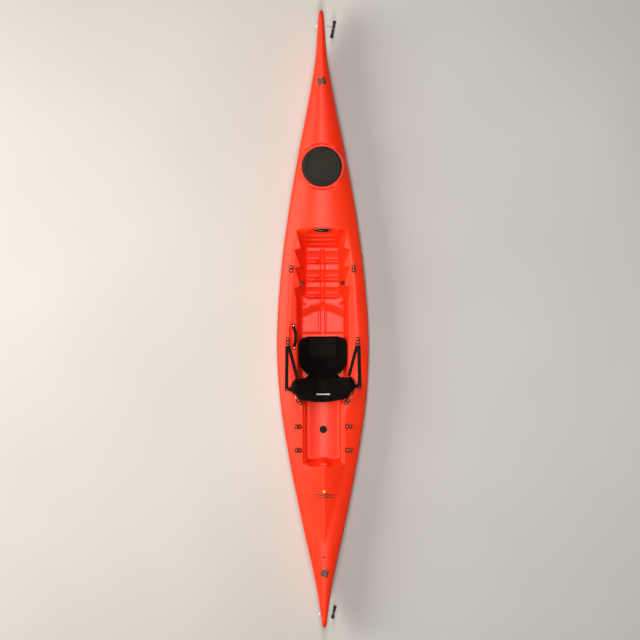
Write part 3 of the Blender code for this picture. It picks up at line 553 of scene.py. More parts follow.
def woven(name, colour, thread, pitch=0.0016):
    """Plain-woven cloth, seen from any side."""
    s = Shader(name, colour, 0.86, specular_ior_level=0.06, sheen_weight=0.01, sheen_roughness=0.5)
    weave = s.crossed(pitch, ((0.35, 0.5, 0.78), (0.5, -0.35, -0.78)))
    cloud = s.map(s.noise(9.0, 4.0), 0.35, 0.7)
    shade = s.maths("MULTIPLY", weave, s.maths("ADD", s.maths("MULTIPLY", cloud, 0.6), 0.4))
    s.set("Base Color", s.mix(shade, colour, thread))
    s.set("Roughness", s.map(cloud, 0.0, 1.0, 0.92, 0.78))
    fine = s.bump(weave, 0.00045, 0.6)
    s.bump(s.noise(45.0, 3.0), 0.0025, 0.22, fine)
    return s.material


def webbing(name, colour, thread):
    """Flat webbing: ribs across it, chevrons along it. Its texture runs along each strap in metres."""
    s = Shader(name, colour, 0.72, specular_ior_level=0.10, sheen_weight=0.01)
    ribs = s.crossed(0.0021, ((0, 0, 0.7), (0, 0, -0.7)), "UV")
    worn = s.map(s.noise(35.0, 3.0), 0.4, 0.7)
    s.set("Base Color", s.mix(s.maths("MULTIPLY", ribs, s.maths("ADD", s.maths("MULTIPLY", worn, 0.5), 0.5)),
                              colour, thread))
    s.set("Roughness", s.map(worn, 0.0, 1.0, 0.68, 0.84))
    s.bump(ribs, 0.0005, 0.7)
    return s.material


def braided(name, colour, shadow):
    s = Shader(name, colour, 0.75)
    strands = s.crossed(0.0024, ((0, 0, 0.85), (0, 0, -0.85)), "UV")
    grime = s.map(s.noise(60.0, 4.0), 0.35, 0.7, 0.55, 1.0)
    s.set("Base Color", s.mix(s.maths("MULTIPLY", strands, grime), shadow, colour))
    s.bump(strands, 0.0006, 0.8)
    return s.material


def metal(name, colour, dull, roughness):
    s = Shader(name, colour, roughness, 1.0)
    tarnish = s.map(s.noise(110.0, 4.0), 0.35, 0.75)
    s.set("Base Color", s.mix(s.maths("MULTIPLY", tarnish, 0.7), colour, dull))
    s.set("Roughness", s.map(s.noise(260.0, 3.0, stretch=(1, 6, 1)), 0.3, 0.7, roughness - 0.08,
                             roughness + 0.14))
    s.bump(s.noise(700.0, 2.0), 0.0001, 0.4)
    return s.material


def printed(name, colour):
    """A thin printed or moulded-in graphic, a little worn."""
    s = Shader(name, colour, 0.45)
    wear = s.map(s.noise(240.0, 4.0), 0.58, 0.72)
    s.set("Base Color", s.mix(s.maths("MULTIPLY", wear, 0.35), colour, (0.75, 0.10, 0.04)))
    s.set("Roughness", s.map(wear, 0.0, 1.0, 0.45, 0.65))
    s.bump(s.noise(420.0, 2.0), 0.0003, 0.25)
    return s.material


HULL = hull_plastic()
COVER = moulded("hatch_rubber", (0.0155, 0.0128, 0.0105), 0.62, 480.0, 0.05, 0.12)
GASKET = moulded("gasket_rubber", (0.006, 0.006, 0.006), 0.55, shine=0.2)
PLASTIC = moulded("black_plastic", (0.0028, 0.0027, 0.0028), 0.5, shine=0.12)
GRIP = moulded("handle_plastic", (0.0075, 0.0075, 0.008), 0.40, 900.0, shine=0.45)
GLOSSY = moulded("badge_dark", (0.004, 0.004, 0.005), 0.2, 300.0, 0.02)
BEAD = moulded("bead_plastic", (0.80, 0.79, 0.76), 0.3, 500.0, 0.02)
SILVER = metal("badge_silver", (0.72, 0.72, 0.70), (0.45, 0.44, 0.42), 0.32)
BRASS = metal("brass", (0.83, 0.60, 0.26), (0.42, 0.27, 0.10), 0.3)
STEEL = metal("steel", (0.78, 0.77, 0.75), (0.50, 0.48, 0.45), 0.27)
FABRIC = woven("seat_fabric", (0.0010, 0.0008, 0.0008), (0.0036, 0.0030, 0.0029))
PANEL = woven("seat_panel", (0.0030, 0.0027, 0.0026), (0.0100, 0.0090, 0.0084), 0.0028)
PIPING = woven("seat_piping", (0.0013, 0.0012, 0.0012), (0.0050, 0.0044, 0.0044), 0.0012)
THREAD = woven("thread", (0.006, 0.0055, 0.005), (0.020, 0.018, 0.017), 0.0006)
PATCH = woven("patch", (0.58, 0.58, 0.56), (0.86, 0.86, 0.84), 0.0012)
STRAP = webbing("webbing", (0.0018, 0.0016, 0.0016), (0.0075, 0.0066, 0.0064))
CORD = braided("cord", (0.62, 0.61, 0.57), (0.22, 0.21, 0.19))
MARK = printed("mark_dark", (0.075, 0.018, 0.012))
MARK_BLACK = printed("mark_black", (0.022, 0.012, 0.012))
MARK_YELLOW = printed("mark_yellow", (0.85, 0.42, 0.04))


# ---------------------------------------------------------------- mesh tools
def rows_object(name, points, material, close_rows=False):
    """A closed object from rings of points, with its open ends capped and its UVs in metres."""
    rows, columns = points.shape[:2]
    ring = np.concatenate([points, points[:1]]) if close_rows else points
    faces = grid_faces(rows + 1 if close_rows else rows, columns, True)
    if close_rows:
        faces = faces % (rows * columns)
    listed = [tuple(int(i) for i in f) for f in faces]
    quads = len(listed)
    if not close_rows:
        listed += [tuple(range(columns)), tuple(range((rows - 1) * columns, rows * columns))]
    mesh = bpy.data.meshes.new(name)
    mesh.from_pydata([tuple(p) for p in points.reshape(-1, 3)], [], listed)
    along = np.concatenate([[0], np.cumsum(np.linalg.norm(np.diff(ring.mean(1), axis=0), axis=1))])
    side = np.concatenate([points, points[:, :1]], 1)
    around = np.concatenate([[0], np.cumsum(np.linalg.norm(np.diff(side, axis=1), axis=2).mean(0))])
    layer = mesh.uv_layers.new(name="UVMap")
    r, c = (v.reshape(-1)
            for v in np.meshgrid(np.arange(quads // columns), np.arange(columns), indexing="ij"))
    corners = np.stack([np.stack([along[r + dr], around[c + dc]], -1)
                        for dr, dc in ((0, 0), (0, 1), (1, 1), (1, 0))], 1)
    values = np.zeros((len(mesh.loops), 2))
    values[:quads * 4] = corners.reshape(-1, 2)
    layer.data.foreach_set("uv", values.reshape(-1))
    work = bmesh.new()
    work.from_mesh(mesh)
    bmesh.ops.remove_doubles(work, verts=work.verts, dist=1e-7)
    bmesh.ops.recalc_face_normals(work, faces=work.faces)
    work.to_mesh(mesh)
    work.free()
    return as_object(name, mesh, [material], 40)


def rounded(points, radius, count=4, closed=True):
    """A 2-D outline with its corners rounded."""
    points = [np.array(p, float) for p in points]
    out = []
    for k, corner in enumerate(points):
        if not closed and k in (0, len(points) - 1):
            out.append(corner)
            continue
        before, after = points[k - 1], points[(k + 1) % len(points)]
        ends = []
        for other in (before, after):
            length = np.linalg.norm(other - corner)
            ends.append(corner + (other - corner) * min(radius / max(length, 1e-9), 0.48))
        for s in np.linspace(0, 1, count):
            out.append((1 - s) ** 2 * ends[0] + 2 * s * (1 - s) * corner + s * s * ends[1])
    return np.array(out)


def moved(x, y, z):
    return Matrix.Translation((x, y, z))


def turned(name, profile, material, place=Matrix(), radius=0.0008, segments=48, wave=None):
    """A shape turned round Z from a (radius, height) outline that begins and ends on the axis or closes."""
    on_axis = profile[0][0] == 0
    line = rounded(profile, radius, 4, closed=not on_axis)
    angles = np.linspace(0, math.tau, segments, endpoint=False)
    radii = line[:, 0][:, None] * (1 + (wave(angles)[None, :] if wave else 0))
    if on_axis:
        radii = np.maximum(radii, 1e-6)
    points = np.stack([radii * np.cos(angles), radii * np.sin(angles), line[:, 1][:, None] + 0 * angles], -1)
    obj = rows_object(name, points, material, close_rows=not on_axis)
    obj.data.transform(place)
    return obj


def swept(name, path, section, material, across=None, loop=False):
    """A section of (side, up) points swept along a path; across fixes the side direction."""
    path = np.array([tuple(v) for v in path], float)
    if loop:
        tangent = np.roll(path, -1, 0) - np.roll(path, 1, 0)
    else:
        tangent = np.gradient(path, axis=0)
    tangent /= np.linalg.norm(tangent, axis=1, keepdims=True)
    if across is None:
        side = np.zeros_like(path)
        start = np.cross(tangent[0], (0, 0, 1.0))
        if np.linalg.norm(start) < 0.1:
            start = np.cross(tangent[0], (1.0, 0, 0))
        for k in range(len(path)):
            start = start - tangent[k] * np.dot(start, tangent[k])
            start = start / np.linalg.norm(start)
            side[k] = start
    else:
        side = np.broadcast_to(np.array(across, float), path.shape).copy()
        side -= tangent * (side * tangent).sum(1, keepdims=True)
        side /= np.linalg.norm(side, axis=1, keepdims=True)
    up = np.cross(side, tangent)
    section = np.array(section, float)
    if section.ndim == 2:
        section = np.broadcast_to(section, (len(path), *section.shape))
    points = path[:, None] + side[:, None] * section[..., :1] + up[:, None] * section[..., 1:]
    return rows_object(name, points, material, close_rows=loop)


def circle(radius, count=14):
    angles = np.linspace(0, math.tau, count, endpoint=False)
    return np.stack([radius * np.cos(angles), radius * np.sin(angles)], -1)


def band(width, thick):
    """The cross-section of webbing: a flat bar with soft edges."""
    w, h = width / 2, thick / 2
    return rounded([(-w, -h), (w, -h), (w, h), (-w, h)], min(w, h) * 0.9, 4)


def block(name, half, material, place=Matrix(), radius=0.002, segments=3):
    """A bar with rounded edges."""
    work = bmesh.new()
    bmesh.ops.create_cube(work, size=2.0, matrix=Matrix.Diagonal((*half, 1.0)))
    bmesh.ops.bevel(work, geom=work.edges, offset=radius, segments=segments, profile=0.5, affect="EDGES")
    mesh = bpy.data.meshes.new(name)
    work.to_mesh(mesh)
    work.free()
    mesh.transform(place)
    return as_object(name, mesh, [material], 50)


def joined(name, parts):
    """One object of several, which keeps their materials."""
    keep = parts[0]
    with bpy.context.temp_override(active_object=keep, object=keep, selected_objects=parts,
                                   selected_editable_objects=parts):
        bpy.ops.object.join()
    keep.name = name
    keep.data.name = name
    return keep


def settled(obj):
    """The object with its modifiers applied."""
    bpy.context.view_layer.update()
    result = bpy.data.meshes.new_from_object(obj.evaluated_get(bpy.context.evaluated_depsgraph_get()))
    obj.modifiers.clear()
    obj.data = result
    return obj


def cut(obj, cutters):
    for cutter in cutters:
        hole = obj.modifiers.new("cut", "BOOLEAN")
        hole.operation = "DIFFERENCE"
        hole.solver = "MANIFOLD"
        hole.object = cutter
    settled(obj)
    for cutter in cutters:
        bpy.data.objects.remove(cutter)


def show(obj, body, slot, *nodes):
    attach(obj, body)
    if nodes:
        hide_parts(*nodes)
    return obj


def middle_of(node):
    low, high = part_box(node)
    return (low + high) / 2


SIDES = (("starboard", 1), ("port", -1))


# ---------------------------------------------------------------- hull
HOLD_RUN = (0.72, 1.32)
WALL = 0.014  # the least wall left round the hold


def make_hull():
    hull = hull_mesh("kayak_hull", [HULL])
    plug_spot = middle_of("plug_bush")
    shares = np.linspace(0.01, 1.0, 80)
    rings = []
    for y in np.linspace(*HOLD_RUN, 12):
        half = float(half_beam(y)) - 0.016
        low = float(keel(y)) + 0.012
        high = float(plain_deck(0.0, y)) - 0.03
        angles = np.linspace(0, math.tau, 28, endpoint=False)
        shape = [(math.copysign(abs(math.cos(a)) ** 0.7, math.cos(a)),
                  math.copysign(abs(math.sin(a)) ** 0.7, math.sin(a)))
                 for a in angles]
        wall = bottom(shares, y + 0 * shares)
        ring = []
        for c, s in shape:
            z = (low + high) / 2 + 0.47 * (high - low) * s
            room = max(float(np.interp(z - 0.010, wall, shares)) * float(half_beam(y)) - WALL, 0.003)
            x = math.copysign(min(abs(0.86 * half * c), room), c)
            ring.append((x, y, min(z, float(plain_deck(x, y)) - 0.016)))
        rings.append(ring)
    cutters = [rows_object("hold", np.array(rings), HULL)]
    cutters.append(turned("bore", [(0, 0.20), (HATCH_BORE_R, 0.20), (HATCH_BORE_R, 0.36), (0, 0.36)], HULL,
                          moved(0, HATCH_Y, 0), 0.0001, 64))
    for x, y in SCUPPERS:
        tube = [(0, -0.05), (0.0070, -0.05), (0.0085, 0.03), (0.0158, 0.07), (0.0158, 0.40), (0, 0.40)]
        cutters.append(turned("scupper", tube, HULL, moved(x, y, 0), 0.0001, 32))
    cutters.append(turned("drain", [(0, -0.02), (0.0155, -0.02), (0.0155, 0.02), (0, 0.02)], HULL,
                          moved(plug_spot.x, plug_spot.y, TANK_FLOOR), 0.0001, 32))
    cut(hull, cutters)
    hull.data.shade_smooth()
    hull.data.set_sharp_from_angle(angle=math.radians(HULL_SHARP))
    show(hull, "boat", "hull_plastic", "hull")

    z = HATCH_LEDGE
    profile = [(0.1120, z - 0.016), (0.1120, z + 0.0118), (0.1215, z + 0.0118), (0.1220, z), (0.1400, z),
               (0.1415, z + 0.0038),
               (0.1490, z + 0.0042), (0.1512, z), (0.1520, z - 0.014), (0.1475, z - 0.016)]
    rim = turned("hatch_seat_ring", profile, HULL, moved(0, HATCH_Y, 0), 0.0012, 96)
    show(rim, "boat", "hull_plastic")


make_hull()


# ---------------------------------------------------------------- hatch cover, drain plug, badge and vent
def make_hatch_cover():
    low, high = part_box("hatch_cover")
    r, tall = (high.x - low.x) / 2, high.z - low.z
    profile = [(0, tall - 0.0010), (r - 0.036, tall - 0.0008), (r - 0.0335, tall - 0.0024),
               (r - 0.029, tall - 0.0024),
               (r - 0.0265, tall - 0.0003), (r - 0.013, tall - 0.0004), (r - 0.009, tall - 0.0032),
               (r - 0.001, tall - 0.0052),
               (r, tall - 0.009), (r, 0.0010), (r - 0.0015, 0), (0.1238, 0), (0.1234, 0.0120), (0, 0.0120)]
    cover = turned("hatch_cover_rubber", profile, COVER, moved(0, HATCH_Y, low.z), 0.0016, 128)
    show(cover, "hatch", "hatch_rubber", "hatch_cover")


GRIP_ANGLE = math.radians(-40)  # of the plug's bar, as it was screwed in


def make_drain_plug():
    spot = middle_of("plug_bush")
    place = moved(spot.x, spot.y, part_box("plug_bush")[1].z - 0.0028)
    bush = [(0.0131, 0.0028), (0.0248, 0.0028), (0.0260, 0.0014), (0.0260, 0.0003), (0.0162, 0.0003),
            (0.0155, -0.018), (0.0131, -0.018)]
    show(turned("plug_bush_flange", bush, PLASTIC, place, 0.0005), "boat", "black_plastic", "plug_bush")
    ring = [(0.0150, 0.0053), (0.0200, 0.0053), (0.0200, 0.0031), (0.0150, 0.0031)]
    show(turned("plug_seal", ring, GASKET, place, 0.0008), "plug_ring", "gasket_rubber", "plug_gasket")

    def scallops(angles):
        return 0.018 * np.cos(20 * angles)

    head = turned("plug_cap",
                  [(0, 0.0094), (0.0150, 0.0094), (0.0165, 0.0106), (0.0212, 0.0106), (0.0226, 0.0088),
                               (0.0226, 0.0056), (0, 0.0056)], PLASTIC, place, 0.0006, 120, scallops)
    thread = [(0, 0.0060), (0.0113, 0.0060)]
    for k in range(5):
        thread += [(0.0123, 0.0040 - 0.004 * k), (0.0113, 0.0022 - 0.004 * k)]
    stem = turned("plug_stem", thread + [(0.0108, -0.0160), (0, -0.0160)], PLASTIC, place, 0.0005, 32)
    grip_turn = place @ Matrix.Rotation(GRIP_ANGLE, 4, "Z")
    bar = block("plug_bar", (0.0186, 0.0036, 0.0052), PLASTIC, grip_turn @ moved(0, 0, 0.0142), 0.0016)
    web = block("plug_web", (0.0140, 0.0060, 0.0012), PLASTIC, grip_turn @ moved(0, 0, 0.0102), 0.0010)
    show(joined("drain_plug_cap", [head, stem, bar, web]), "plug", "black_plastic", "drain_plug")


BADGE_SPOT, BADGE_TILT, BADGE_AXES = (0, 0.612, 0.297), math.radians(48), (0.0575, 0.0195)


def make_badge():
    tilt = moved(*BADGE_SPOT) @ Matrix.Rotation(BADGE_TILT, 4, "X")
    oval = tilt @ Matrix.Diagonal((*BADGE_AXES, 1, 1))
    dome = [(0, 0.0030), (0.55, 0.0029), (0.80, 0.0025), (0.93, 0.0018), (1.0, 0.0006), (1.0, 0.0), (0, 0.0)]
    plate = turned("badge_dome", dome, GLOSSY, oval, 0.0003, 72)
    rim = turned("badge_rim", [(0.84, 0.0029), (0.91, 0.0025), (0.91, 0.0016), (0.84, 0.0018)], SILVER, oval,
                 0.0002, 72)
    line = [tilt @ Vector((0.030 * s, 0.0022 * math.sin(3.0 * s), 0.0029)) for s in np.linspace(-1, 1, 25)]
    stripe = swept("badge_wave", line, band(0.0030, 0.0008), SILVER, across=tilt.to_3x3() @ Vector((0, 1, 0)))
    show(joined("badge_oval", [plate, rim, stripe]), "boat", "badge", "badge_plate")


def make_vent():
    spot = middle_of("stern_vent")
    place = moved(spot.x, spot.y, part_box("stern_vent")[0].z)
    profile = [(0, 0.0014), (0.0016, 0.0014), (0.0022, 0.0029), (0.0044, 0.0030), (0.0060, 0.0012),
               (0.0060, 0), (0, 0)]
    show(turned("vent_button", profile, PLASTIC, place, 0.0004, 32), "boat", "black_plastic", "stern_vent")


# ---------------------------------------------------------------- carry toggles
TOGGLES = {
    # the hole through the nose, the handle's centre, its direction and its length
    "bow": ((0.0, 2.0145, 0.275), (0.083, 2.002, 0.205), (0.20, 0.98, 0.0), 0.122),
    "stern": ((0.0, -2.028, 0.255), (0.066, -2.026, 0.190), (0.22, 0.975, 0.0), 0.092),
}
TOGGLE_CORD = 0.006


def bezier(points, t):
    a, b, c, d = (np.array(p) for p in points)
    return a * (1 - t) ** 3 + b * 3 * t * (1 - t) ** 2 + c * 3 * t * t * (1 - t) + d * t**3


def make_toggle(end):
    hole, centre, heading, length = TOGGLES[end]
    hole, centre = Vector(hole), Vector(centre)
    beam = float(half_beam(hole.y))
    across = Matrix.Rotation(math.radians(90), 4, "Y")
    for side, sign in SIDES:
        place = Matrix.Translation(hole + Vector((sign * (beam + 0.0085), 0, 0))) @ across
        profile = [(0.0034, 0.0060), (0.0058, 0.0060), (0.0085, 0.0026), (0.0085, -0.0026), (0.0058, -0.0060),
                   (0.0034, -0.0060)]
        bead = turned(f"{end}_stop_bead_{side}", profile, BEAD, place, 0.0022, 40)
        show(bead, "boat", "bead_plastic", f"{end}_bead_{side}")
    line = [hole + Vector((x, 0, 0)) for x in np.linspace(beam + 0.0150, -beam - 0.0150, 24)]
    show(swept(f"{end}_nose_cord", line, circle(TOGGLE_CORD / 2), CORD), "boat", "cord",
         f"{end}_through_cord")

    # a bone-shaped grip with finger ribs and a moulded collar for the cord
    turn = Vector((0, 0, 1)).rotation_difference(Vector(heading)).to_matrix().to_4x4()
    half = length / 2
    profile = [(0, half), (0.0082, half), (0.0124, half - 0.005), (0.0124, half - 0.015),
               (0.0098, half - 0.024)]
    ribs = int((length - 0.066) / 0.006)
    for k in range(ribs):
        z = half - 0.030 - (length - 0.060) * (k + 0.5) / ribs
        profile += [(0.0095, z + 0.0016), (0.0101, z), (0.0095, z - 0.0016)]
    profile += [(0.0098, 0.024 - half), (0.0124, 0.015 - half), (0.0124, 0.005 - half), (0.0082, -half),
                (0, -half)]
    place = Matrix.Translation(centre) @ turn
    grip = turned(f"{end}_grip_bar", profile, GRIP, place, 0.0022, 40)
    collar = turned(f"{end}_grip_collar",
                    [(0, 0.0122), (0.0052, 0.0122), (0.0068, 0.0102), (0.0072, 0), (0, 0)], GRIP,
                    Matrix.Translation(centre), 0.0008, 32)
    body = f"{end}_toggle"
    show(joined(f"{end}_grip", [grip, collar]), body, "handle_plastic", f"{end}_toggle_handle")

    pivot = hole + Vector((beam + 0.016, 0, 0))
    top = centre + Vector((0, 0, 0.0112))
    route = [pivot, pivot + Vector((0.022, 0, 0.002)), top + Vector((0, 0, 0.035)), top]
    points = np.array([bezier(route, t) for t in np.linspace(0, 1, 33)])
    cord = swept(f"{end}_handle_cord", points, circle(TOGGLE_CORD / 2), CORD)
    show(cord, body, "cord", f"{end}_toggle_cord")
    knot = turned(f"{end}_cord_whipping",
                  [(0.0031, 0.0035), (0.0038, 0.0025), (0.0038, -0.0025), (0.0031, -0.0035)], GASKET,
                  Matrix.Translation(points[-4]) @ Vector((0, 0, 1)).rotation_difference(
                      Vector(points[-3] - points[-5])).to_matrix().to_4x4(), 0.0005, 24)
    show(knot, body, "cord")


# ---------------------------------------------------------------- pad eyes and snap hooks
# X and Y of each ring's far bar on the starboard side, and the direction from lug to ring
PAD_EYES = {"footwell": (0.215, 0.323, (0.0, -1.0)), "seat_front": (0.240, -0.171, (0.0, -1.0)),
            "seat_rear": (0.179, -0.547, (0.62, 0.785)), "tank_front": (0.150, -0.735, (-1.0, 0.0)),
            "tank_rear": (0.150, -0.898, (-1.0, 0.0))}
LUG_BACK, LUG_R = 0.035, 0.0125
RING_BACK, RING_R, RING_HOLE_R, RING_LOW, RING_TOP = 0.013, 0.0165, 0.0095, 0.0090, 0.0130
HOOK_LOW, HOOK_HIGH, HOOK_FRONT, HOOK_LENGTH, GATE_START = 0.0062, 0.0215, -0.002, 0.030, 0.0085


def eye_frame(name, side, sign):
    """The pad eye's own axes: X from its lug to its ring, with the ring's far bar at the origin."""
    x, y, heading = PAD_EYES[name]
    ahead = Vector((sign * heading[0], heading[1], 0)).normalized()
    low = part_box(f"pad_eye_{name}_{side}")[0].z - 0.0003
    turn = Matrix((ahead, Vector((-ahead.y, ahead.x, 0)), (0, 0, 1))).transposed().to_4x4()
    return moved(sign * x, y, low) @ turn


def cross_head(name, material):
    """A domed screw head with a cross recess."""
    dome = [(0, 0.0023), (0.0020, 0.0022), (0.0042, 0.0013), (0.0050, 0.0001), (0.0050, 0), (0, 0)]
    head = turned(name, dome, material, Matrix(), 0.0004, 28)
    slots = [block("slot", half, material, moved(0, 0, 0.0024), 0.0001, 1)
             for half in ((0.0028, 0.0005, 0.0012), (0.0005, 0.0028, 0.0013))]
    cut(head, slots)
    return head


def make_pad_eyes():
    screw = cross_head("screw", BRASS)
    top = RING_TOP - 0.0015
    lug_profile = [(0, top - 0.0008), (0.0060, top - 0.0008), (0.0068, top), (LUG_R - 0.002, top),
                   (LUG_R, top - 0.0018), (LUG_R, 0.0003), (0, 0.0003)]
    ring_profile = [(RING_HOLE_R, RING_TOP), (RING_R, RING_TOP), (RING_R, RING_LOW), (RING_HOLE_R, RING_LOW)]
    boss_profile = [(0, 0.0), (0.0148, 0.0), (0.0158, -0.0010), (0.0170, -0.0060), (0.0215, -0.0300),
                    (0, -0.0300)]
    for name in PAD_EYES:
        for side, sign in SIDES:
            frame_at = eye_frame(name, side, sign)
            lug_at = frame_at @ moved(-LUG_BACK, 0, 0)
            ring_at = frame_at @ moved(-RING_BACK, 0, 0)
            lug = turned("lug", lug_profile, PLASTIC, lug_at, 0.0008, 36)
            ring = turned("ring", ring_profile, PLASTIC, ring_at, 0.0018, 48)
            web_at = frame_at @ moved(-0.0275, 0, 0.0103)
            web = block("web", (0.0052, 0.0078, 0.0014), PLASTIC, web_at, 0.0009)
            eye = joined(f"deck_eye_{name}_{side}", [lug, ring, web])
            show(eye, "boat", "black_plastic", f"pad_eye_{name}_{side}")
            head = bpy.data.objects.new(f"screw_{name}_{side}", screw.data.copy())
            scene.collection.objects.link(head)
            head.data.transform(lug_at @ Matrix.Rotation(0.7 + 1.3 * sign + 5 * PAD_EYES[name][1], 4, "Z"))
            head.data.transform(moved(0, 0, top + 0.0001))
            show(head, "boat", "brass", f"eye_screw_{name}_{side}")
            boss = turned(f"eye_boss_{name}_{side}", boss_profile, HULL, lug_at, 0.0010, 40)
            show(boss, "boat", "hull_plastic")
    bpy.data.objects.remove(screw)


def make_hook(name, side, sign):
    place = eye_frame(name, side, sign)
    middle, bend = (HOOK_LOW + HOOK_HIGH) / 2, (HOOK_HIGH - HOOK_LOW) / 2
    points = [(GATE_START - 0.0025, 0, HOOK_HIGH)]
    for angle in np.radians(np.arange(90, 271, 10)):
        points.append((HOOK_FRONT + bend * math.cos(angle), 0, middle + bend * math.sin(angle)))
    for angle in np.radians(np.arange(-90, 61, 10)):
        points.append((HOOK_LENGTH + bend * math.cos(angle), 0, middle + bend * math.sin(angle)))
    metal, slot = (BRASS, "brass") if name == "seat_rear" else (PLASTIC, "black_plastic")
    wire = swept(f"snap_hook_{name}_{side}", [place @ Vector(p) for p in points], circle(0.0020, 12), metal,
                 across=place.to_3x3() @ Vector((0, 1, 0)))
    show(wire, "boat", slot, f"hook_{name}_{side}")
    line = [(x, 0, HOOK_HIGH) for x in np.linspace(HOOK_LENGTH - 0.001, GATE_START, 16)]
    radii = np.interp(np.linspace(0, 1, 16), (0, 0.08, 0.2, 0.8, 0.92, 1),
                      (0.0012, 0.0016, 0.00135, 0.00135, 0.0016, 0.0011))
    gate = swept(f"hook_gate_{name}_{side}", [place @ Vector(p) for p in line],
                 radii[:, None, None] * circle(1.0, 12)[None], STEEL)
    show(gate, f"gate_{name}_{side}", "steel", f"gate_{name}_{side}")


# ---------------------------------------------------------------- soft goods
def read(mesh, key):
    """Each vertex's "co" or "normal"."""
    values = np.empty(len(mesh.vertices) * 3)
    mesh.vertices.foreach_get(key, values)
    return values.reshape(-1, 3)


def tree_of(mesh):
    return BVHTree.FromPolygons([tuple(v.co) for v in mesh.vertices],
                                [tuple(p.vertices) for p in mesh.polygons])


CLOTH_FRAMES = 20


def inflated(obj, inset, voxel, cap):
    """The piece puffed up as stuffed cloth: shrunk, remeshed, blown up from inside, and held within cap."""
    start = read(obj.data, "co") - read(obj.data, "normal") * inset
    obj.data.vertices.foreach_set("co", start.reshape(-1))
    remesh = obj.modifiers.new("remesh", "REMESH")
    remesh.mode = "VOXEL"
    remesh.voxel_size = voxel
    settled(obj)
    start = read(obj.data, "co")
    cloth = obj.modifiers.new("cloth", "CLOTH")
    cloth.settings.quality = 5
    cloth.settings.use_pressure = True
    cloth.settings.uniform_pressure_force = 4.0
    cloth.settings.effector_weights.gravity = 0.0
    cloth.point_cache.frame_start, cloth.point_cache.frame_end = 1, CLOTH_FRAMES
    for frame_number in range(1, CLOTH_FRAMES + 1):
        scene.frame_set(frame_number)
    held = obj.evaluated_get(bpy.context.evaluated_depsgraph_get())
    blown = read(held.to_mesh(), "co")
    held.to_mesh_clear()
    obj.modifiers.clear()
    scene.frame_set(1)
    move = blown - start
    far = np.linalg.norm(move, axis=1, keepdims=True)
    held_in = start + move * np.minimum(1, cap / np.maximum(far, 1e-9))
    obj.data.vertices.foreach_set("co", held_in.reshape(-1))
    smooth = obj.modifiers.new("smooth", "SMOOTH")
    smooth.factor, smooth.iterations = 0.5, 4
    obj.modifiers.new("finer", "SUBSURF").levels = 1
    settled(obj)
    obj.data.shade_smooth()
    return obj


def pressed(obj, depth_at, facing):
    """Push the surface in along its normals, by depth_at(points), where it faces the given way."""
    mesh = obj.data
    co, normal = read(mesh, "co"), read(mesh, "normal")
    share = np.clip(normal @ np.array(facing) * 3 - 0.6, 0, 1)
    mesh.vertices.foreach_set("co", (co - normal * (depth_at(co) * share)[:, None]).reshape(-1))
    mesh.update()


def paint(obj, material, chosen):
    """Give the faces whose centres are chosen another material."""
    mesh = obj.data
    if material.name not in [m.name for m in mesh.materials]:
        mesh.materials.append(material)
    centres = np.empty(len(mesh.polygons) * 3)
    mesh.polygons.foreach_get("center", centres)
    index = np.zeros(len(mesh.polygons), int)
    mesh.polygons.foreach_get("material_index", index)
    index[chosen(centres.reshape(-1, 3))] = len(mesh.materials) - 1
    mesh.polygons.foreach_set("material_index", index)


def laid_on(obj, points, toward, lift):
    """Points cast onto the piece's surface along toward, then lifted off it."""
    tree = tree_of(obj.data)
    toward = Vector(toward).normalized()
    out = []
    for p in points:
        p = Vector(p)
        hit = tree.ray_cast(p - toward * 0.15, toward, 0.4)[0] or tree.find_nearest(p)[0]
        out.append(hit - toward * lift)
    return np.array([tuple(p) for p in out])


def relaxed(loop, times):
    """A closed line with its kinks eased."""
    for _ in range(times):
        loop = (np.roll(loop, 1, 0) + 2 * loop + np.roll(loop, -1, 0)) / 4
    return loop


def stitches(name, path, material, pitch=0.0055, length=0.0036, radius=0.0006, up=(0, 0, 1)):
    """A row of sewn stitches along a path, as one mesh."""
    path = np.array([tuple(p) for p in path], float)
    steps = np.concatenate([[0], np.cumsum(np.linalg.norm(np.diff(path, axis=0), axis=1))])
    points, faces = [], []
    up = np.array(up, float)
    for d in np.arange(pitch / 2, steps[-1] - length / 2, pitch):
        ends = [np.array([np.interp(d + s * length / 2, steps, path[:, k]) for k in range(3)])
                for s in (-1, 1)]
        along = (ends[1] - ends[0]) / np.linalg.norm(ends[1] - ends[0])
        side = np.cross(along, up)
        side /= np.linalg.norm(side)
        normal = np.cross(side, along)
        first = len(points)
        middle = (ends[0] + ends[1]) / 2
        points += [ends[0], ends[1]]
        for c, s in ((1, 0), (0, 1), (-1, 0), (0, -1)):
            points.append(middle + (side * c + normal * s) * radius)
        for k in range(4):
            a, b = first + 2 + k, first + 2 + (k + 1) % 4
            faces += [(first, a, b), (first + 1, b, a)]
    return mesh_object(name, points, faces, [material], smooth=60)


PAD_ROWS = ((-0.397, 0.092, 0.38), (-0.385, 0.118, 0.50), (-0.350, 0.149, 0.75), (-0.300, 0.167, 0.95),
            (-0.245, 0.171, 1.0), (-0.180, 0.168, 1.0), (-0.140, 0.160, 0.85), (-0.122, 0.143, 0.60),
            (-0.112, 0.110, 0.35))
PAD_SECTION = ((0.84, 0.0), (0.885, 0.016), (0.975, 0.100), (1.0, 0.128), (0.955, 0.134), (0.80, 0.080),
               (0.58, 0.046), (0.2, 0.036))
PAD_CHANNELS = (-0.087, -0.050, 0.053, 0.098)


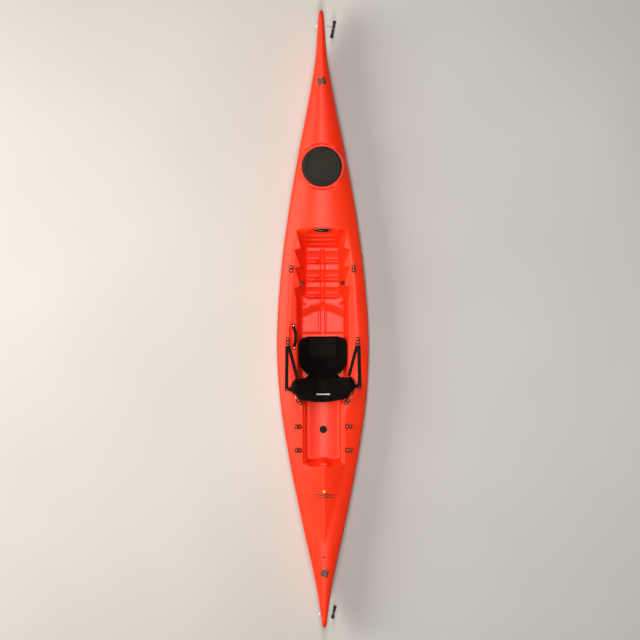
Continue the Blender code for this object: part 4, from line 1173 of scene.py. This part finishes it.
def make_seat_pad():
    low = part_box("seat_pad")[0].z
    ys = np.linspace(PAD_ROWS[0][0], PAD_ROWS[-1][0], 56)
    half = straight_curve(PAD_ROWS, ys)
    rise = straight_curve([(r[0], r[2]) for r in PAD_ROWS], ys)
    section = np.array([(0.0, 0.0), (0.5, 0.0), *PAD_SECTION, (0.0, 0.034)])
    steps = np.concatenate([[0], np.cumsum(np.linalg.norm(np.diff(section, axis=0), axis=1))])
    t = np.linspace(0, steps[-1], 60)
    share, height = np.interp(t, steps, section[:, 0]), np.interp(t, steps, section[:, 1])
    share, height = np.concatenate([share, -share[-2:0:-1]]), np.concatenate([height, height[-2:0:-1]])
    points = np.stack([half[:, None] * share, ys[:, None] + 0 * share, low + rise[:, None] * height], -1)
    pad = rows_object("seat_cushion", points, FABRIC)
    inflated(pad, inset=0.0030, voxel=0.0050, cap=0.0055)

    def channels(p):
        x, y = p[:, 0], p[:, 1]
        depth = 0.010 * bump(x, 0.05) * (1 - ramp(-y, 0.112, 0.165))
        within = 1 - ramp(y, -0.262, -0.245)
        for line in PAD_CHANNELS:
            depth = depth + 0.0042 * bump(x - line, 0.0075) * within
        side_line = bump(np.abs(x) - 0.118 - 0.10 * (y + 0.25) ** 2, 0.0065)
        depth = depth + 0.0032 * side_line * (1 - ramp(-y, 0.345, 0.36)) * ramp(-y, 0.135, 0.15)
        return depth + 0.0030 * bump(y + 0.252, 0.0065) * (1 - ramp(np.abs(x), 0.098, 0.112))

    pressed(pad, channels, (0, 0, 1))
    paint(pad, PANEL, lambda c: (np.abs(c[:, 0]) < 0.090) & (c[:, 2] > low + 0.015)
          & (c[:, 1] < -0.132) & (c[:, 1] > -0.252))
    show(pad, "boat", "seat_fabric", "seat_pad")

    ys = np.linspace(-0.388, -0.124, 60)
    rim = [(0.975 * straight_curve(PAD_ROWS, y), y) for y in ys]
    loop = [(x, y, 0.3) for x, y in rim] + [(-x, y, 0.3) for x, y in reversed(rim)]
    loop = laid_on(pad, loop, (0, 0, -1), 0.0002)
    loop = relaxed(loop, 3)
    show(swept("seat_piping", loop, circle(0.0026, 10), PIPING, loop=True), "boat", "seat_fabric")
    rows = []
    for line in PAD_CHANNELS:
        for offset in (-0.0052, 0.0052):
            path = laid_on(pad, [(line + offset, y, 0.3) for y in np.linspace(-0.372, -0.262, 24)],
                           (0, 0, -1), -0.0001)
            rows.append(stitches("row", path, THREAD))
    show(joined("seat_stitching", rows), "boat", "seat_fabric")


def make_seat_flap():
    """The cloth that joins the seat pad to the backrest's foot."""
    x = np.linspace(-1, 1, 41)
    rows = np.array(((-0.366, 0.108, 0.100), (-0.380, 0.112, 0.100), (-0.394, 0.120, 0.108),
                     (-0.404, 0.132, 0.118), (-0.409, 0.146, 0.124)))  # y, z and half-width
    t = np.linspace(0, 1, 16)
    ys, zs, halves = (np.interp(t, np.linspace(0, 1, len(rows)), rows[:, k]) for k in range(3))
    top = np.stack([halves[:, None] * x, ys[:, None] + 0 * x,
                    zs[:, None] + 0.004 * np.cos(9 * x) * (1 - x**2)], -1)
    flap = rows_object("seat_flap", np.concatenate([top, top[:, ::-1] - (0, 0, 0.002)], 1), FABRIC)
    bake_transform(flap)


BACK_FOOT, BACK_TOP = (-0.405, 0.135), (-0.548, 0.450)
BACK_ROWS = ((0.0, 0.140), (0.22, 0.149), (0.42, 0.161), (0.56, 0.207), (0.66, 0.229), (0.78, 0.215),
             (0.90, 0.180), (1.0, 0.140))
WING_X, WING_REACH, WING_SHARE = 0.185, 0.096, 0.62
BACK_THICK = 0.026


def back_surface(x, share, depth=0.0):
    """Points on the backrest's front face, moved back by depth."""
    y = BACK_FOOT[0] + (BACK_TOP[0] - BACK_FOOT[0]) * share
    z = BACK_FOOT[1] + (BACK_TOP[1] - BACK_FOOT[1]) * share
    out = np.abs(x) / WING_X
    wing = np.where(out < 1, out**1.5, 1 - 2.4 * (out - 1))
    reach = WING_REACH * wing * np.sin(math.pi * np.minimum(share / WING_SHARE, 1.0) / 2)
    reach = reach * (1 - 0.9 * np.clip(share - WING_SHARE, 0, None) / (1 - WING_SHARE))
    lean = np.array((0, BACK_TOP[0] - BACK_FOOT[0], BACK_TOP[1] - BACK_FOOT[1]))
    lean = lean / np.linalg.norm(lean)
    normal = np.stack([0.5 * np.sign(x) * np.minimum(out, 1.0) ** 1.4, -lean[2] + 0 * x, lean[1] + 0 * x], -1)
    normal = normal / np.linalg.norm(normal, axis=-1, keepdims=True)
    face = np.stack([x, y + reach + 0.06 * x * (np.abs(x) / 0.25) ** 2, z + 0 * x], -1)
    return face + normal * np.asarray(depth)[..., None]


def back_sheet(name, material, front, back, first=0.0, last=1.0, narrow=0.0, edge=0.0):
    """A closed, soft-edged sheet between two depths behind the backrest's face."""
    shares = np.linspace(first, last, 44)
    half = straight_curve(BACK_ROWS, shares) - narrow
    u = np.sin(np.linspace(-math.pi / 2, math.pi / 2, 40))
    x = half[:, None] * u
    s = shares[:, None] + 0 * u
    middle, thick = (front + back) / 2, (back - front) / 2
    ends = np.clip(np.minimum(shares - first, last - shares) * 0.34 / max(edge, 1e-4), 0, 1)[:, None]
    sides = np.clip((half[:, None] - np.abs(x)) / max(edge, 1e-4), 0, 1)
    soft = np.sqrt(1 - (1 - np.minimum(ends, sides)) ** 2) * 0.85 + 0.15
    face = back_surface(x, s, middle - thick * soft)
    rear = back_surface(x, s, middle + thick * soft)
    return rows_object(name, np.concatenate([face, rear[:, ::-1]], 1), material)


def make_backrest():
    pad = back_sheet("back_cushion", FABRIC, 0.0, BACK_THICK, edge=0.012)
    inflated(pad, inset=0.0028, voxel=0.0045, cap=0.0060)
    lean = Vector((0, BACK_TOP[0] - BACK_FOOT[0], BACK_TOP[1] - BACK_FOOT[1])).normalized()
    ahead = Vector((0, lean.z, -lean.y))

    def share_of(p):
        return (p[:, 2] - BACK_FOOT[1]) / (BACK_TOP[1] - BACK_FOOT[1])

    def channels(p):
        x, share = p[:, 0], share_of(p)
        within = ramp(share, 0.10, 0.16) * (1 - ramp(share, 0.62, 0.68))
        depth = 0.0045 * bump(share - 0.68, 0.020) * (1 - ramp(np.abs(x), 0.16, 0.18))
        for line in (-0.104, -0.036, 0.036, 0.104):
            depth = depth + 0.0045 * bump(x - line, 0.0080) * within
        return depth

    pressed(pad, channels, ahead)
    paint(pad, PANEL, lambda c: (np.abs(c[:, 0]) < 0.034) & (share_of(c) > 0.14) & (share_of(c) < 0.66))
    show(pad, "backrest", "seat_fabric", "backrest_pad")

    gap = BACK_THICK + 0.0048
    board = back_sheet("back_board", PLASTIC, gap, gap + 0.005, 0.18, 0.90, 0.026, edge=0.004)
    show(board, "backrest", "black_plastic", "backrest_board")

    shares = np.linspace(0.02, 0.98, 70)
    outline = list(zip(shares, straight_curve(BACK_ROWS, shares)))
    edge = [back_surface(np.array(h * 0.985), np.array(s), BACK_THICK / 2) for s, h in outline]
    edge += [back_surface(np.array(-h * 0.985), np.array(s), BACK_THICK / 2) for s, h in reversed(outline)]
    loop = np.array(edge)
    tree = tree_of(pad.data)
    loop = np.array([tuple(tree.find_nearest(Vector(p))[0]) for p in loop])
    loop = relaxed(loop, 4)
    show(swept("back_piping", loop, circle(0.0027, 10), PIPING, loop=True), "backrest", "seat_fabric")

    u = np.linspace(-1, 1, 25)
    face, rear = [], []
    for share in np.linspace(0.750, 0.792, 9):
        line = back_surface(0.0455 * u, share + 0.040 * u**2, -0.002)
        face.append(laid_on(pad, line, -ahead, 0.0012))
        rear.append(laid_on(pad, line, -ahead, -0.0006))
    patch = rows_object("back_patch", np.concatenate([np.array(face), np.array(rear)[:, ::-1]], 1), PATCH)
    show(patch, "backrest", "patch", "backrest_patch")
    rows = []
    for share in (0.754, 0.788):
        path = laid_on(pad, back_surface(0.043 * u, share + 0.040 * (0.945 * u) ** 2, -0.002), -ahead, 0.0013)
        rows.append(stitches("row", path, THREAD, 0.0042, 0.0028, 0.0004, ahead))
    show(joined("patch_stitching", rows), "backrest", "patch")


# ---------------------------------------------------------------- straps
STRAP_THICK, OUTER_WIDTH, INNER_WIDTH, REAR_WIDTH = 0.0020, 0.024, 0.022, 0.018
STRAP_SAG = 0.03  # share of a strap's length that its middle hangs below a straight line


def strap(name, start, end, width, node, across=(1, 0, 0)):
    """Webbing from a snap hook to the backrest, with its end folded back and sewn down."""
    start, end = Vector(start), Vector(end)
    along = (end - start).normalized()
    t = np.linspace(0, 1, 56)
    sag = -4 * STRAP_SAG * (end - start).length * t * (1 - t)
    path = np.array([tuple(start.lerp(end, s)) for s in t]) + np.stack([0 * t, 0 * t, sag], -1)
    ribbon = swept("ribbon", path, band(width, STRAP_THICK), STRAP, across=across)
    side = Vector(across)
    side = (side - along * side.dot(along)).normalized()
    up = side.cross(along)
    if up.z < 0:
        up = -up
    folded = path[3:16] + np.array(up) * (STRAP_THICK * 0.98)
    fold = swept("fold", folded, band(width * 0.98, STRAP_THICK * 0.9), STRAP, across=across)
    rows = []
    for off in (-0.32, 0.32):
        rows.append(stitches("row", folded + np.array(side * (off * width))
                             + np.array(up) * (STRAP_THICK * 0.46), THREAD,
                             0.0040, 0.0026, 0.00045, up))
    whole = joined(name, [ribbon, fold, *rows])
    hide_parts(node)
    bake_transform(whole)


def make_buckle(side, sign):
    centre = middle_of(f"strap_buckle_{side}")
    bars = []
    for x, y, half_x, half_y in ((0, -0.0105, 0.0128, 0.0036), (0, 0, 0.0128, 0.0032),
                                 (0, 0.0105, 0.0128, 0.0036),
                                 (-0.0100, 0, 0.0030, 0.0139), (0.0100, 0, 0.0030, 0.0139)):
        bars.append(block("bar", (half_x, half_y, 0.0020), PLASTIC,
                          Matrix.Translation(centre + Vector((x, y, 0))), 0.0011))
    show(joined(f"ladder_buckle_{side}", bars), "backrest", "black_plastic", f"strap_buckle_{side}")
    t = np.linspace(0, 1, 14)[:, None]
    inner = np.array((sign * 0.203, centre.y - 0.003, centre.z + 0.001))
    outer = np.array(tuple(centre)) - (sign * 0.0096, 0, 0)
    path = inner + (outer - inner) * t + np.array((0, 0, 0.002)) * np.sin(math.pi * t)
    tab = swept(f"buckle_tab_{side}", path, band(0.0250, 0.0022), STRAP, across=(0, 1, 0))
    show(tab, "backrest", "webbing")
    return centre


def make_straps():
    for side, sign in SIDES:
        buckle = make_buckle(side, sign)
        frame_at = eye_frame("seat_front", side, sign)
        start = frame_at @ Vector((0.010, 0, HOOK_HIGH + 0.0050))
        strap(f"strap_outer_{side}", start + Vector((sign * 0.006, 0, 0.005)),
              buckle + Vector((0, 0.0020, 0.0032)), OUTER_WIDTH, f"front_strap_outer_{side}")
        low_end = Vector(back_surface(np.array(sign * 0.178), np.array(0.50))) + Vector((0, -0.005, 0.002))
        strap(f"strap_inner_{side}", start + Vector((-sign * 0.006, 0, 0)), low_end, INNER_WIDTH,
              f"front_strap_inner_{side}")
        frame_at = eye_frame("seat_rear", side, sign)
        start = frame_at @ Vector((HOOK_LENGTH + 0.0105, 0, 0.0135))
        board_edge = Vector(back_surface(np.array(sign * 0.192), np.array(0.52), 0.036))
        end = board_edge + Vector((sign * 0.003, -0.003, 0))
        strap(f"strap_rear_{side}", start, end, REAR_WIDTH, f"rear_strap_{side}", across=(0.2, 0.1, 1.0))


def make_side_strap():
    spots = [((a + b) / 2, a.z) for a, b in (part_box(f"side_strap_screw_{k}") for k in ("front", "rear"))]
    ends = (Vector((-0.201, -0.032, 0)), Vector((-0.198, -0.206, 0)))
    heights = [z - 0.0021 for _, z in spots]
    path = []
    for t in np.linspace(0, 1, 65):
        level = min(max((t - 0.125) / 0.75, 0), 1)
        rise = 4 * level * (1 - level)
        flat = ends[0].lerp(ends[1], t)
        path.append((flat.x + 0.014 * rise, flat.y,
                     heights[0] * (1 - level) + heights[1] * level + 0.020 * rise))
    path = np.array(path)
    for _ in range(4):
        path[1:-1] = (path[:-2] + 2 * path[1:-1] + path[2:]) / 4
    ribbon = swept("ribbon", path, band(0.020, 0.0028), STRAP, across=(1, 0, 0))
    rows = []
    for off in (-0.0078, 0.0078):
        rows.append(stitches("row", path + np.array((off, 0, 0.0013)), THREAD, 0.0050, 0.0032, 0.0005))
    show(joined("thigh_loop", [ribbon, *rows]), "boat", "webbing", "side_strap")
    for name, (spot, z) in (("front", spots[0]), ("rear", spots[1])):
        place = moved(spot.x, spot.y, z)
        boss = turned(f"loop_boss_{name}",
                      [(0, -0.0037), (0.0100, -0.0037), (0.0125, -0.0060), (0.0170, -0.0260), (0, -0.0260)],
                      HULL, place, 0.0010, 36)
        show(boss, "boat", "hull_plastic")
        head = turned(f"loop_screw_{name}",
                      [(0, 0.0040), (0.0026, 0.0040), (0.0044, 0.0034), (0.0060, 0.0010), (0.0060, 0),
                       (0, 0)],
                      STEEL, place, 0.0006, 40)
        socket = turned("socket", [(0, 0.0016), (0.0021, 0.0016), (0.0021, 0.008), (0, 0.008)], STEEL, place,
                        0.00001, 6)
        cut(head, [socket])
        show(head, "boat", "steel", f"side_strap_screw_{name}")


# ---------------------------------------------------------------- plain marks on the deck
MARK_TOP, MARK_SUNK = 0.0006, 0.0010  # how far a mark stands above the deck and reaches into it


def deck_patch(name, outline, material, height=MARK_TOP):
    """A thin, closed mark that follows the deck inside an outline of (x, y)."""
    outline = np.array(outline)
    middle = outline.mean(0)
    rings = []
    for lift in (height, -MARK_SUNK):
        shares = np.linspace(0.001, 1.0, 12)
        for share in shares if lift > 0 else shares[::-1]:
            x, y = (middle + (outline - middle) * share).T
            rings.append(np.stack([x, y, deck(x, y) + lift * (1 - 0.5 * (share > 0.99))], -1))
    return rows_object(name, np.array(rings), material)


def deck_stripe(name, line, widths, material):
    """A thin, closed stripe along the deck, tapered by its widths."""
    line = np.array(line)
    direction = np.gradient(line, axis=0)
    direction /= np.linalg.norm(direction, axis=1, keepdims=True)
    side = np.stack([-direction[:, 1], direction[:, 0]], -1)
    rows = []
    for p, s, w in zip(line, side, widths):
        flat = np.array([p + s * w * u for u in (-1, -0.5, 0, 0.5, 1)])
        z = deck(flat[:, 0], flat[:, 1])
        top = np.column_stack([flat, z + MARK_TOP])
        under = np.column_stack([flat, z - MARK_SUNK])[::-1]
        rows.append(np.concatenate([top, under]))
    return rows_object(name, np.array(rows), material)


def make_marks():
    for name, x, y, size, tilt in (("bow_mark", 0.000, 1.630, 0.058, 17),
                                   ("stern_mark", 0.004, -1.743, 0.052, -17)):
        h = size / 2
        square = rounded([(-h, -h), (h, -h), (h, h), (-h, h)], 0.014, 8)
        a = math.radians(tilt)
        turn = np.array(((math.cos(a), -math.sin(a)), (math.sin(a), math.cos(a))))
        show(deck_patch(name, square @ turn.T + (x, y), MARK), "boat", "badge")
    x = np.linspace(-1, 1, 60)
    for k, (dy, reach) in enumerate(((0.008, 0.072), (-0.010, 0.072))):
        line = np.stack([0.002 + reach * x, -1.210 + dy + 0.0035 * np.sin(2 * math.pi * x)], -1)
        widths = 0.0040 * np.sqrt(np.clip(1.001 - x**2, 0, 1)) + 0.0002
        show(deck_stripe(f"deck_wave_{k}", line, widths, MARK_BLACK), "boat", "badge")
    dot = [(0.0105 * math.cos(a), 0.0105 * math.sin(a)) for a in np.linspace(0, math.tau, 40, endpoint=False)]
    show(deck_patch("deck_dot", np.array(dot) + (0.004, -1.180), MARK_YELLOW, 0.0007), "boat", "badge")


make_hatch_cover()
make_drain_plug()
make_badge()
make_vent()
for nose in TOGGLES:
    make_toggle(nose)
make_pad_eyes()
for hook in ("seat_front", "seat_rear"):
    for hook_side, hook_sign in SIDES:
        make_hook(hook, hook_side, hook_sign)
make_seat_pad()
make_seat_flap()
make_backrest()
make_straps()
make_side_strap()
make_marks()


# ---------------------------------------------------------------- floor and end
def add_floor():
    mesh = bpy.data.meshes.new("floor")
    size = 30.0
    corners = [(-size, -size, 0), (size, -size, 0), (size, size, 0), (-size, size, 0)]
    mesh.from_pydata(corners, [], [(0, 1, 2, 3)])
    s = Shader("floor", (0.50, 0.50, 0.50), 0.8, specular_ior_level=0.1)
    s.set("Base Color", s.mix(s.map(s.noise(0.6, 2.0), 0.3, 0.7), (0.48, 0.48, 0.48), (0.52, 0.52, 0.52)))
    mesh.materials.append(s.material)
    floor = bpy.data.objects.new("floor", mesh)
    floor.location.z = -0.0005
    scene.collection.objects.link(floor)


add_floor()
bpy.context.view_layer.update()
